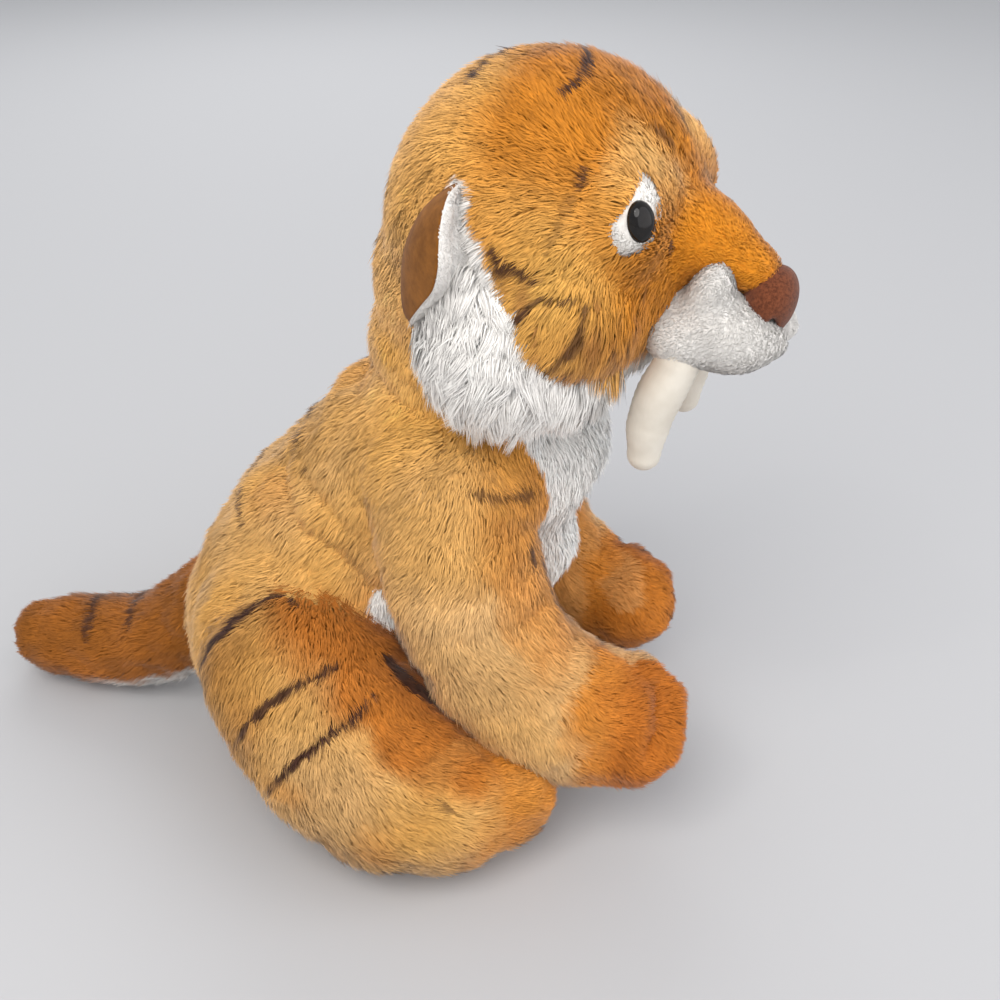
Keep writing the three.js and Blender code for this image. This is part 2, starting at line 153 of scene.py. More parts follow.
def loft(stations, more=0.0, around=28, along=40, cap=0.2):
    """A closed sleeve along a curve with round ends; stations are (point, radius sideways, radius in the bend's plane)."""
    g, faces = sphere_grid(around, along)
    phi = g[:, 0]
    t = np.clip((phi - cap) / (1 - 2 * cap), 0, 1)
    pos, tan = catmull([s[0] for s in stations], t)
    u = t * (len(stations) - 1)
    k = np.minimum(u.astype(int), len(stations) - 2)
    f = u - k
    f = f * f * (3 - 2 * f)
    r1 = np.array([s[1] for s in stations], float)
    r2 = np.array([s[2] if len(s) > 2 else s[1] for s in stations], float)
    r1 = r1[k] * (1 - f) + r1[k + 1] * f + more
    r2 = r2[k] * (1 - f) + r2[k + 1] * f + more
    a = (1 - np.minimum(phi, 1 - phi) / cap) * math.pi / 2
    a = np.clip(a, 0, None)
    lift, wide = np.sin(a) * np.where(phi < 0.5, -1, 1), np.cos(a)
    side = np.array((1.0, 0, 0))
    B = side - (tan @ side)[:, None] * tan
    B /= np.linalg.norm(B, axis=1, keepdims=True)
    N = np.cross(B, tan)
    p = (
        pos
        + tan * (lift * (r1 + r2) / 2)[:, None]
        + B * (np.cos(g[:, 1]) * wide * r1)[:, None]
        + N * (np.sin(g[:, 1]) * wide * r2)[:, None]
    )
    return p, faces


def mesh_object(name, co, faces, smooth=True):
    me = bpy.data.meshes.new(name)
    me.from_pydata([tuple(c) for c in np.asarray(co, float)], [], [tuple(f) for f in faces])
    me.validate()
    me.update()
    o = bpy.data.objects.new(name, me)
    bpy.context.scene.collection.objects.link(o)
    if smooth:
        me.polygons.foreach_set("use_smooth", np.ones(len(me.polygons), bool))
    return o


def joined(name, parts):
    """One object of several (points, faces), still in millimetres of (x, s, z), put in the row frame."""
    co, faces, n = [], [], 0
    for p, f in parts:
        co.append(p)
        faces += [tuple(i + n for i in face) for face in f]
        n += len(p)
    return mesh_object(name, W(np.vstack(co)), faces)


def apply_modifiers(o):
    dg = bpy.context.evaluated_depsgraph_get()
    me = bpy.data.meshes.new_from_object(o.evaluated_get(dg), depsgraph=dg)
    o.modifiers.clear()
    old = o.data
    o.data = me
    bpy.data.meshes.remove(old)
    me.polygons.foreach_set("use_smooth", np.ones(len(me.polygons), bool))
    outward(o)
    return o


def outward(o):
    """Faces of a closed mesh point out."""
    co, tri = triangles(o)
    a, b, c = co[tri[:, 0]], co[tri[:, 1]], co[tri[:, 2]]
    if np.einsum("ij,ij->i", a, np.cross(b, c)).sum() < 0:
        o.data.flip_normals()
    o.data.update()


def points(o):
    co = np.empty(len(o.data.vertices) * 3, np.float32)
    o.data.vertices.foreach_get("co", co)
    return co.reshape(-1, 3).astype(float)


def triangles(o):
    me = o.data
    me.calc_loop_triangles()
    tri = np.empty(len(me.loop_triangles) * 3, np.int32)
    me.loop_triangles.foreach_get("vertices", tri)
    return points(o), tri.reshape(-1, 3)


def normals(o):
    n = np.empty(len(o.data.vertices) * 3, np.float32)
    o.data.vertices.foreach_get("normal", n)
    return n.reshape(-1, 3).astype(float)


def set_points(o, co):
    o.data.vertices.foreach_set("co", np.asarray(co, np.float32).ravel())
    o.data.update()


def skin(name, parts, voxel=3.0, smooth=12):
    """One closed skin round several overlapping blocks, smoothed where they meet."""
    o = joined(name, parts)
    m = o.modifiers.new("remesh", "REMESH")
    m.mode = "VOXEL"
    m.voxel_size = voxel / 1000.0
    m = o.modifiers.new("smooth", "SMOOTH")
    m.factor = 0.5
    m.iterations = smooth
    return apply_modifiers(o)


def turned_head(co):
    """Head points, row frame, from straight ahead to the way that the head rests."""
    p = W(NECK)
    c, s = math.cos(HEAD_TURN), math.sin(HEAD_TURN)
    q = np.asarray(co, float) - p
    q = np.stack((c * q[..., 0] - s * q[..., 1], s * q[..., 0] + c * q[..., 1], q[..., 2]), -1)
    return q + p


def turned_head_vectors(v):
    c, s = math.cos(HEAD_TURN), math.sin(HEAD_TURN)
    v = np.asarray(v, float)
    return np.stack((c * v[..., 0] - s * v[..., 1], s * v[..., 0] + c * v[..., 1], v[..., 2]), -1)


# ------------------------------------------------------------------ the stuffed shapes
TRUNK = [
    ((0, -86, 58), 65, 60),
    ((0, -74, 86), 62, 57),
    ((0, -52, 113), 56, 53),
    ((0, -32, 140), 53, 52),
    ((0, -19, 166), 46, 43),
    ((0, -17, 196), 42, 40),
]
ARM = [
    ((46, -18, 146), 31, 31),
    ((53, -11, 114), 31, 31),
    ((56, 2, 86), 30, 32),
    ((54, 24, 63), 29.5, 32),
    ((49, 47.5, 56.5), 28, 29),
]
LEG = [
    ((58, -78, 72), 41, 42),
    ((74, -57, 53), 38, 42),
    ((83, -37, 41), 35, 39),
    ((81, -13, 34), 30, 33),
    ((75, 1, 33), 24, 27),
]
TAIL = [
    ((0, -126, 58), 27, 27),
    ((0, -151, 39), 24, 24.5),
    ((1, -178, 26), 22.5, 23),
    ((2, -206, 21.5), 21, 21.5),
    ((3, -226, 20.5), 19.5, 19.5),
]
SNOUT = [
    ((0, 42, 251), 29, 24),
    ((0, 66, 246), 22, 19),
    ((0, 86, 237), 15, 13),
]


def sided(stations, side):
    return [((s[0][0] * side, s[0][1], s[0][2]), *s[1:]) for s in stations]


# Head shapes are made with the head straight ahead, and turned to the way it rests when they are done.
def mm_of(o):
    """Points and outward normals of a skin in (x, s, z), millimetres."""
    return M(points(o)), normals(o) * (1, -1, 1)


skins = {}
skins["torso"] = skin(
    "plush_body",
    [
        loft(TRUNK, -PILE),
        egg((-39, -19.5, 149), (29, 30, 28)),
        egg((39, -19.5, 149), (29, 30, 28)),
        egg((-45, -80, 72), (33.5, 42, 42)),
        egg((45, -80, 72), (33.5, 42, 42)),
        egg((0, -86, 52), (56, 54, 49)),
        egg((0, -20, 188), (34, 30, 24)),
        egg((0, -4, 152), (36, 35, 34)),
        egg((0, -18, 116), (25, 40, 42)),
    ],
)
for name, side in (("right", -1), ("left", 1)):
    arm = sided(ARM, side)
    leg = sided(LEG, side)
    paw = 24.5, 23, 25
    if side > 0:  # the far paw is held a little further back and lower
        arm = arm[:1] + [
            ((q[0][0] - 1, q[0][1] - k, q[0][2] - m), q[1] * r, q[2] * r)
            for q, k, m, r in zip(arm[1:], (5, 9, 10, 9), (2, 7, 10, 11), (0.97, 0.93, 0.9, 0.88))
        ]
        paw = 23, 22.5, 22
    end = arm[-1][0]
    skins["arm_" + name] = skin(
        "plush_front_leg_" + name,
        [loft(arm, -PILE), egg((end[0], end[1] + 3, end[2] - 1), paw)],
    )
    skins["leg_" + name] = skin(
        "plush_hind_leg_" + name,
        [loft(leg, -PILE), egg((74 * side, 4, 33), (19.5, 21, 22))],
    )
skins["tail"] = skin("plush_tail", [loft(TAIL, -PILE)])
skins["neck"] = skin("plush_neck", [egg((0, -19, 194), (38, 35, 25))])
skins["head"] = skin(
    "plush_head",
    [
        egg((0, 12, 243), (60 - PILE, 59 - PILE, 60 - PILE)),
        egg((0, 40, 260), (28, 22, 24)),
        egg((0, -6, 222), (51 - PILE, 48 - PILE, 44 - PILE)),
        loft(SNOUT, -PILE),
        egg((-36, 31, 229), (21, 24, 20.5)),
        egg((36, 31, 229), (21, 24, 20.5)),
        egg((-17, 53, 257), (12, 11, 17)),
        egg((17, 52, 257), (12, 10.8, 16.5)),
        egg((-27, 50, 256), (16, 12, 18)),
        egg((27, 49, 256.5), (16, 11.6, 18)),
        egg((0, -16, 200), (42, 36, 22)),
    ],
)
skins["muzzle"] = skin(
    "plush_muzzle",
    [
        egg((-11.5, 78, 218.5), (15.5, 20.5, 13.2), 14),
        egg((11.5, 78, 218.5), (15.5, 20.5, 13.2), 14),
        egg((-8, 90, 216.5), (9, 11.5, 7.5), 10),
        egg((8, 90, 216.5), (9, 11.5, 7.5), 10),
        egg((-14.5, 75, 230), (8.5, 8, 13.5), 14),
        egg((14.5, 75, 230), (8.5, 8, 13.5), 14),
        egg((-19, 68, 216), (10.5, 12.5, 9.5), 0),
        egg((19, 68, 216), (10.5, 12.5, 9.5), 0),
        egg((0, 62, 213), (14, 19, 10), 0),
        egg((0, 62, 221), (23, 16, 12), 0),
    ],
    voxel=2.2,
    smooth=11,
)
for name, side in (("right", -1), ("left", 1)):
    skins["ruff_" + name] = skin(
        "plush_ruff_" + name,
        [
            egg((41 * side, 10, 217), (21, 25, 28), -12),
            egg((30 * side, 27, 209), (19, 19, 17), 0),
            egg((50 * side, 4, 228), (9, 14, 20), 0),
        ],
        voxel=3.0,
        smooth=6,
    )

def seam_weight(key, p, nor):
    """Where the cloth is held while it is blown up: seams, the seat on the floor and the parts inside a neighbour."""
    if key == "torso":
        spine = 1 - smoothstep(1.5, 3.5, np.abs(p[:, 0]))
        spine = spine * (p[:, 1] < -20)
        side = 1 - smoothstep(1.5, 3.5, np.abs(p[:, 1] + 34 - 0.42 * (120 - p[:, 2])))
        side = side * (p[:, 2] < 150)
        return np.maximum.reduce([spine, side, smoothstep(196, 202, p[:, 2]), smoothstep(14, 9, p[:, 2])])
    if key == "tail":
        seam = 1 - smoothstep(1.0, 2.6, np.abs(p[:, 0] - np.interp(-p[:, 1], [126, 226], [0, 3])))
        return np.maximum(seam * (nor[:, 2] < 0), smoothstep(-134, -128, p[:, 1]))
    side = np.sign(p[:, 0].mean())
    line = ARM if key.startswith("arm") else LEG
    t, tan, pos = along(sided(line, side), p)
    r = p - pos
    r /= np.linalg.norm(r, axis=1, keepdims=True) + 1e-9
    # one seam runs down the inside of the limb, one down the outside; a dart crosses it at the elbow or the knee
    b = np.cross(tan, (side, 0, 0))
    b /= np.linalg.norm(b, axis=1, keepdims=True) + 1e-9
    seam = 1 - smoothstep(0.05, 0.13, np.abs((r * b).sum(1)))
    seam = seam * ((r[:, 0] * side) < 0)
    dart = 1 - smoothstep(0.008, 0.03, np.abs(t - (0.56 if key.startswith("arm") else 0.42)))
    dart = dart * smoothstep(0.2, 0.55, (r * b).sum(1) * (1 if key.startswith("arm") else -1))
    return np.maximum.reduce([seam, dart, smoothstep(0.08, 0.03, t)])


def puff(keys, shrink=0.9, cap=3.2, frames=20):
    """Blow the sewn shapes up as cloth under pressure, and move the skins by what the cloth did."""
    work = []
    for key in keys:
        src = skins[key]
        o = bpy.data.objects.new("cloth_" + key, src.data.copy())
        bpy.context.scene.collection.objects.link(o)
        m = o.modifiers.new("remesh", "REMESH")
        m.mode = "VOXEL"
        m.voxel_size = 0.005
        apply_modifiers(o)
        p, nor = M(points(o)), normals(o) * (1, -1, 1)
        set_points(o, points(o) - normals(o) * shrink / 1000.0)
        g = o.vertex_groups.new(name="seam")
        w = seam_weight(key, p, nor)
        for k in np.nonzero(w > 0.02)[0]:
            g.add([int(k)], float(w[k]), "REPLACE")
        c = o.modifiers.new("cloth", "CLOTH").settings
        # a toy is small and its fur cloth soft, so the springs are weak beside the usual ones
        c.quality = 4
        c.mass = 0.001
        c.tension_stiffness = c.compression_stiffness = 0.03
        c.shear_stiffness = 0.015
        c.bending_stiffness = 0.0008
        c.vertex_group_mass = "seam"
        c.use_pressure = True
        c.uniform_pressure_force = 4.0
        c.effector_weights.gravity = 0.0
        work.append((key, o, points(o)))
    scene = bpy.context.scene
    for k in range(1, frames + 1):
        scene.frame_set(k)
    dg = bpy.context.evaluated_depsgraph_get()
    for key, o, rest in work:
        e = o.evaluated_get(dg)
        co = np.empty(len(e.data.vertices) * 3, np.float32)
        e.data.vertices.foreach_get("co", co)
        move = co.reshape(-1, 3).astype(float) - rest
        far = np.linalg.norm(move, axis=1, keepdims=True)
        move = move * np.minimum(1, cap / 1000.0 / np.maximum(far, 1e-9))
        print("cloth", key, len(rest), "moved mm", round(float(far.mean()) * 1000, 2), round(float(far.max()) * 1000, 2))
        kd = KDTree(len(rest))
        for i, q in enumerate(rest):
            kd.insert(q, i)
        kd.balance()
        src = skins[key]
        co, nor = points(src), normals(src)
        out = np.empty_like(co)
        for i, q in enumerate(co - nor * shrink / 1000.0):
            hits = kd.find_n(q, 5)
            w = np.array([1.0 / (h[2] + 1e-4) for h in hits])
            out[i] = (move[[h[1] for h in hits]] * w[:, None]).sum(0) / w.sum()
        set_points(src, co - nor * shrink / 1000.0 + out)
    for key, o, rest in work:
        me = o.data
        bpy.data.objects.remove(o)
        bpy.data.meshes.remove(me)
    scene.frame_set(1)


def along(stations, p):
    """Nearest share along a centreline and its tangent there."""
    t = np.linspace(0, 1, 80)
    pos, tan = catmull([s[0] for s in stations], t)
    best = np.full(len(p), 1e18)
    idx = np.zeros(len(p), int)
    for k in range(len(t)):
        d = ((p - pos[k]) ** 2).sum(1)
        hit = d < best
        best[hit] = d[hit]
        idx[hit] = k
    return t[idx], tan[idx], pos[idx]


puff(["torso", "arm_right", "arm_left", "leg_right", "leg_left", "tail"])
print("cloth done at", round(time.perf_counter() - T0, 1), "s")

def fold(key, lines):
    """Press creases into a skin along lines (points, depth, width), with a low roll of cloth beside each."""
    o = skins[key]
    co = points(o)
    p, nor = M(co), normals(o)
    for line, depth, width in lines:
        q, _ = catmull(line, np.linspace(0, 1, 40))
        d = np.sqrt(((p[:, None, :] - q[None]) ** 2).sum(2).min(1)) / width
        co = co - nor * (depth * (np.exp(-(d**2)) - 0.3 * np.exp(-((d - 2.0) ** 2))) / 1000.0)[:, None]
    set_points(o, co)


FLANK = [
    ([(-24, -84, 141), (-35, -80, 135), (-43.2, -73.9, 128.5), (-46, -66, 128), (-49, -59.3, 124), (-51, -53.3, 118), (-51, -47.7, 111.9)], 3.4, 4.2),
    ([(-34, -74, 145), (-43, -64, 140), (-49, -56, 134), (-52, -48, 126)], 2.4, 4.0),
]
for side in (-1, 1):
    fold("torso", [([(-q[0] * side, q[1], q[2]) for q in line], d, w) for line, d, w in FLANK])
for name, side in (("right", -1), ("left", 1)):
    x, a, c, k = (side, 0, 0, 1) if side < 0 else (side, -9, -11, 0.4)
    fold("arm_" + name, [
        ([(54 * x, 62 + a, 76 + c), (60 * x, 63 + a, 72 + c), (65 * x, 63 + a, 67 + c), (68 * x, 62 + a, 60 + c)], 4.2 * k, 5.0),
        ([(40 * x, 64 + a, 74 + c), (35 * x, 65 + a, 68 + c), (31 * x, 65 + a, 60 + c)], 3.0 * k, 5.0),
    ])

BVH = {}
for key, o in skins.items():
    co, tri = triangles(o)
    mm = M(co)
    BVH[key] = BVHTree.FromPolygons([tuple(v) for v in mm], [tuple(t[::-1]) for t in tri])


def depth_in(tree, pts):
    """How deep each point lies inside a skin, in millimetres; below zero it lies outside."""
    out = np.empty(len(pts))
    for i, q in enumerate(pts):
        loc, nor, _, d = tree.find_nearest(q)
        out[i] = d if (Vector(q) - loc).dot(nor) < 0 else -d
    return out


def srgb(r, g, b):
    c = np.array((r, g, b), float) / 255.0
    return np.where(c <= 0.04045, c / 12.92, ((c + 0.055) / 1.055) ** 2.4)


GOLD = srgb(222, 164, 82)
TAN = srgb(216, 168, 106)
ORANGE = srgb(212, 130, 36)
DEEP = srgb(190, 112, 36)
CREAM = srgb(224, 178, 120)
BROWN = srgb(140, 84, 46)
LINE_BROWN = srgb(66, 38, 26)
WHITE = srgb(238, 234, 228)


def mix(a, b, t):
    t = np.atleast_1d(np.clip(np.asarray(t, float), 0, 1))[:, None]
    return np.asarray(a) * (1 - t) + np.asarray(b) * t


def near_line(p, line):
    """Distance from each point to a polyline in space, and the share along it."""
    line = np.asarray(line, float)
    best = np.full(len(p), 1e9)
    share = np.zeros(len(p))
    n = len(line) - 1
    for k in range(n):
        a, d = line[k], line[k + 1] - line[k]
        t = np.clip(((p - a) @ d) / max(d @ d, 1e-9), 0, 1)
        q = np.linalg.norm(p - (a + t[:, None] * d), axis=1)
        hit = q < best
        best[hit] = q[hit]
        share[hit] = (k + t[hit]) / n
    return best, share


def dark_lines(p, lines):
    """How much of the dark brown each point takes, 0 to 1; a line is (points, width, strength)."""
    out = np.zeros(len(p))
    wob = noise3(p, 5.0)[:, 0] * 0.7
    for line, width, strength in lines:
        d, t = near_line(p, line)
        w = width * 0.5 * (0.35 + 0.65 * np.sin(np.clip(t, 0.04, 0.96) * math.pi) ** 0.6)
        out = np.maximum(out, strength * (1 - smoothstep(-0.7, 0.8, d - w + wob)))
    return out


def pile_mesh(name, root, nor, f, seed, clump=14, tight=0.5):
    """Strands of pile as narrow tapering blades, one object; f says the length, lay and colour of each."""
    rng = np.random.default_rng(seed)
    n = len(root)
    d = f["dir"] - (f["dir"] * nor).sum(1)[:, None] * nor
    d /= np.linalg.norm(d, axis=1, keepdims=True) + 1e-9
    sidev = np.cross(nor, d)
    wave = noise3(root, f.get("wave", 9.0))
    slow = noise3(root, 26.0)
    turn = (wave[:, 0] * f.get("swirl", 0.42) + slow[:, 1] * f.get("drift", 0.4) + rng.normal(0, 0.2, n))[:, None]
    d = d * np.cos(turn) + sidev * np.sin(turn)
    L = f["len"] * np.clip(1 + rng.normal(0, 0.14, n) + 0.12 * wave[:, 1], 0.5, 1.5)
    r0 = np.radians(np.clip(f["rise0"] + rng.normal(0, 7, n) + 6 * wave[:, 2], 8, 88))
    r1 = np.radians(np.clip(f["rise1"] + rng.normal(0, 6, n) + 6 * wave[:, 2], -12, 80))
    t0 = d * np.cos(r0)[:, None] + nor * np.sin(r0)[:, None]
    t1 = d * np.cos(r1)[:, None] + nor * np.sin(r1)[:, None]
    fall = f.get("fall")
    if fall is not None:
        t1 = t1 + np.array((0, 0, -1.0)) * np.asarray(fall)[:, None]
        t1 /= np.linalg.norm(t1, axis=1, keepdims=True)
    p0 = root - nor * 0.7
    p1 = root + t0 * (L * 0.5)[:, None]
    p2 = p1 + t1 * (L * 0.5)[:, None]
    # strands gather towards a neighbour's tip
    m = max(n // clump, 1)
    centre = rng.permutation(n)[:m]
    kd = mathutils_kd(root[centre] + t0[centre] * 1.0)
    near = centre[np.fromiter((kd.find(q)[1] for q in root), int, n)]
    pull = (tight * (0.55 + 0.45 * rng.random(n)))[:, None]
    p2 = p2 + (p2[near] - p2) * pull
    p1 = p1 + (p1[near] - p1) * pull * 0.45
    p2 = p2 + (p2 - p1) * (f.get("ragged", 0.1) * np.clip(rng.normal(0, 1, n), -2, 2)[near])[:, None]
    kink = sidev * (f.get("curl", 0.3) * rng.normal(0, 1, n)[near])[:, None]
    p1 = p1 + kink
    p2 = p2 - kink * 0.7
    t = p2 - p0
    t /= np.linalg.norm(t, axis=1, keepdims=True) + 1e-9
    s = np.cross(t, nor)
    s /= np.linalg.norm(s, axis=1, keepdims=True) + 1e-9
    spin = rng.normal(0, 0.35, n)[:, None]
    s = s * np.cos(spin) + np.cross(t, s) * np.sin(spin)
    w = (f["wide"] * (0.75 + 0.5 * rng.random(n)))[:, None] * 0.58
    co = np.stack((p0 - s * w, p0 + s * w, p1 - s * w * 0.85, p1 + s * w * 0.85, p2), 1)
    if f.get("floor", True):
        co[..., 2] = np.maximum(co[..., 2], 0.25)
    base = np.arange(n, dtype=np.int32)[:, None] * 5
    loops = (base + np.array([1, 0, 2, 3, 3, 2, 4], np.int32)).ravel()
    starts = (np.arange(n, dtype=np.int32)[:, None] * 7 + np.array([0, 4], np.int32)).ravel()
    me = bpy.data.meshes.new(name)
    world = W(co.reshape(-1, 3))
    vn = np.repeat(nor * (1, -1, 1), 5, axis=0)
    if f.get("head"):
        world = turned_head(world)
        vn = turned_head_vectors(vn)
    me.vertices.add(n * 5)
    me.vertices.foreach_set("co", world.astype(np.float32).ravel())
    me.loops.add(n * 7)
    me.loops.foreach_set("vertex_index", loops)
    me.polygons.add(n * 2)
    me.polygons.foreach_set("loop_start", starts)
    me.update(calc_edges=True)
    me.polygons.foreach_set("use_smooth", np.ones(n * 2, bool))
    # colour: each strand its own, and lighter towards the root as painted light against the shade that falls between
    # the strands
    tone = np.clip(1 + rng.normal(0, 0.06, n) + 0.10 * noise3(root, 3.2)[:, 0] + 0.08 * wave[:, 1] + 0.06 * slow[:, 0], 0.5, 1.45)
    seen = p1 * 0.45 + p2 * 0.55
    seen = seen - nor * ((seen - root) * nor).sum(1)[:, None]
    if "paint" in f:
        col = f["paint"](seen)
    else:
        col = f["col"]
    white = smoothstep(0.45, 0.6, col[:, 2])
    tone = 1 + (tone - 1) * (1 - 0.55 * white)
    col = col * tone[:, None]
    root_light = np.array((1.2, 1.2, 1.1, 1.1, 1.08)) * (1 - white[:, None]) + np.array((1.12, 1.12, 1.06, 1.06, 1.04)) * white[:, None]
    c = np.clip(col[:, None, :] * root_light[:, :, None], 0, 0.95)
    c = np.concatenate((c, np.ones((n, 5, 1))), 2)
    me.color_attributes.new("Col", "FLOAT_COLOR", "POINT").data.foreach_set(
        "color", c.astype(np.float32).ravel()
    )
    grid = int(math.ceil(math.sqrt(n)))
    cell = np.stack((np.arange(n) % grid, np.arange(n) // grid), 1).astype(float)
    uv = np.array([[0.8, 0.12], [0.2, 0.12], [0.2, 0.55], [0.8, 0.55], [0.8, 0.55], [0.2, 0.55], [0.5, 0.9]])
    uv = (cell[:, None, :] + uv[None]) / grid
    me.uv_layers.new(name="OFBake").data.foreach_set("uv", uv.astype(np.float32).ravel())
    lump = noise3(root, 6.5) * 0.13 + noise3(root, 14.0) * 0.12
    vn = vn + np.repeat(lump * (1 - 0.35 * white[:, None]), 5, axis=0)
    vn /= np.linalg.norm(vn, axis=1, keepdims=True)
    soft_normals(me, vn, 0.9)
    o = bpy.data.objects.new(name, me)
    bpy.context.scene.collection.objects.link(o)
    return o


def mathutils_kd(pts):
    kd = KDTree(len(pts))
    for i, q in enumerate(pts):
        kd.insert(q, i)
    kd.balance()
    return kd


def soft_normals(me, vn, share):
    """Blades take most of their normal from the skin under them, so that light runs over the pile evenly."""
    own = np.empty(len(me.vertices) * 3, np.float32)
    me.vertices.foreach_get("normal", own)
    own = own.reshape(-1, 3)
    flip = np.sign((own * vn).sum(1))[:, None]
    v = vn * share + own * flip * (1 - share)
    v /= np.linalg.norm(v, axis=1, keepdims=True) + 1e-9
    me.normals_split_custom_set_from_vertices(v.astype(np.float32))
    me.attributes.new("Lay", "FLOAT_VECTOR", "POINT").data.foreach_set("vector", v.astype(np.float32).ravel())


def scatter(o, per_mm2, seed):
    """Roots spread evenly over a skin, with normals, in (x, s, z)."""
    rng = np.random.default_rng(seed)
    co, tri = triangles(o)
    p, nor = M(co), normals(o) * (1, -1, 1)
    a, b, c = p[tri[:, 0]], p[tri[:, 1]], p[tri[:, 2]]
    area = np.linalg.norm(np.cross(b - a, c - a), axis=1) / 2
    n = int(area.sum() * per_mm2)
    cum = np.cumsum(area) / area.sum()
    f = np.minimum(np.searchsorted(cum, (np.arange(n) + rng.random(n)) / n), len(tri) - 1)
    r1, r2 = np.sqrt(rng.random(n)), rng.random(n)
    w = np.stack((1 - r1, r1 * (1 - r2), r1 * r2), 1)
    root = (p[tri[f]] * w[..., None]).sum(1)
    nn = (nor[tri[f]] * w[..., None]).sum(1)
    nn /= np.linalg.norm(nn, axis=1, keepdims=True)
    return root, nn, (tri[f], w)


HEAD_KEYS = ("head", "muzzle", "ruff_right", "ruff_left")
# Where the moving pieces can go: joint anchor and axis (row frame, metres) and turns in degrees, rest among them.
SWINGS = {"tail": ((0, 0.052, 0.046), (0, 0, 1), (0, -25, 25))}
LIMB_BLEND = {"tail": (W((0, -122, 56)), W((0, -160, 34)))}
for name, side in (("right", -1), ("left", 1)):
    SWINGS["arm_" + name] = ((0.05 * side, -0.076, 0.137), (-1, 0, 0), (0, -3, 17, 35))
    SWINGS["leg_" + name] = ((0.065 * side, -0.006, 0.072), (0, 0, side), (0, 12, 25))
    LIMB_BLEND["arm_" + name] = (W((48 * side, -12, 165)), W((54 * side, -2, 112)))
    LIMB_BLEND["leg_" + name] = (W((50 * side, -92, 84)), W((76 * side, -52, 50)))
for key in ("neck",) + HEAD_KEYS:
    SWINGS[key] = ((0, -0.066, 0.185), (0, 0, 1), (0, -26, 14, 34, 54))
SWINGS["nod"] = ((0, -0.066, 0.185), (0.970296, -0.241922, 0), (0, -12, 12))


def swung(key, co, turn):
    """Points of a piece, row frame, with its joint turned that far; near its root it stays with the body."""
    anchor, axis, _ = SWINGS[key]
    rot = np.array(Matrix.Rotation(math.radians(turn), 3, Vector(axis)))
    w = 1.0
    if key in LIMB_BLEND:
        a, b = LIMB_BLEND[key]
        w = np.clip(((co - a) @ (b - a)) / ((b - a) @ (b - a)), 0, 1)[:, None]
    return co * (1 - w) + ((co - anchor) @ rot.T + anchor) * w


def at_rest(key):
    """Points of a skin, row frame, with the head turned the way that it rests."""
    co = points(skins[key])
    return turned_head(co) if key in HEAD_KEYS else co


def hidden_by(key, others, by=4.0):
    """Whether each point of a skin lies deeper than that in one of the other skins, however the joint between them turns."""
    out = np.zeros(len(skins[key].data.vertices), bool)
    mine = at_rest(key)
    for k in others:
        joint = k if key == "torso" else "nod" if key == "neck" and k in HEAD_KEYS else key
        deep = ~out
        for turn in (0,) if key in HEAD_KEYS and k in HEAD_KEYS else SWINGS[joint][2]:
            at = np.nonzero(deep)[0]
            if key == "torso":
                deep[at] = depth_in(tree_of(k, turn), M(mine[at])) > by
            else:
                deep[at] = depth_in(tree_of(k, 0), M(swung(joint, mine[at], turn))) > by
        out |= deep
    return out


TREES = {}


def tree_of(key, turn):
    """Tree of a skin in (x, s, z), millimetres, with its joint turned that far."""
    if (key, turn) not in TREES:
        co = at_rest(key)
        if turn:
            co = swung(key, co, turn)
        tri = triangles(skins[key])[1]
        TREES[key, turn] = BVHTree.FromPolygons([tuple(v) for v in M(co)], [tuple(t[::-1]) for t in tri])
    return TREES[key, turn]


DENSITY = 1.0
PILES = {}


def base_dir(v, n):
    return np.tile(np.asarray(v, float), (n, 1))


def blob(p, at, r, soft):
    """Share of a round patch of colour, mirrored on both sides."""
    d = np.linalg.norm(p * (1, 1, 1) - np.where(p[:, :1] < 0, 1.0, 0) * at - np.where(p[:, :1] >= 0, 1.0, 0) * (np.asarray(at) * (-1, 1, 1)), axis=1)
    return smoothstep(r + soft, r - soft, d + 4 * noise3(p, 9)[:, 0])


def paint_torso(p, n):
    col = mix(TAN, GOLD, 0.5 + 0.6 * noise3(p, 22)[:, 0])
    col = mix(col, ORANGE, 0.30 * smoothstep(0.1, 0.9, noise3(p, 34)[:, 2]))
    col = mix(col, ORANGE, smoothstep(-20, 22, p[:, 1]) * 0.75)
    col = mix(col, ORANGE, 0.35 * smoothstep(60, 20, p[:, 2]))
    col = mix(col, ORANGE, 0.5 * blob(p, (-48, -50, 92), 16, 14))
    # painted light: the top of the back by the neck is up to 15% lighter, as if lit from above
    col = col * (1 + 0.15 * smoothstep(160, 180, p[:, 2]) * smoothstep(-16, -26, p[:, 1]))[:, None]
    w = bib_mask(p)
    # painted light: the white of the bib is 1.06 times brighter, against the shade under the head
    col = mix(col, WHITE * 1.06, w)
    s = dark_lines(p, LINES["torso"]) * (1 - w)
    return mix(col, LINE_BROWN, s)


def bib_mask(p):
    """White of the throat, the chest and the belly."""
    half = np.interp(p[:, 2], [30, 74, 94, 130, 150, 172, 200], [44, 38, 31, 30, 35, 37, 35])
    edge = np.abs(p[:, 0]) - half + noise3(p, 6)[:, 0] * 0.8
    front = (1 - smoothstep(-0.8, 0.8, edge)) * smoothstep(-14, -10, p[:, 1] + 0.25 * (150 - p[:, 2]) * (p[:, 2] < 150))
    flank = np.linalg.norm((np.abs(p[:, 0:1]) * (1, 0, 0) + p * (0, 1, 1)) - (49, -44, 98), axis=1) + noise3(p, 6)[:, 0]
    return np.maximum(front, 1 - smoothstep(8, 10, flank))


def mirrored(line, dx=0.0, ds=0.0, dz=0.0):
    return [(-q[0] + dx, q[1] + ds, q[2] + dz) for q in line]
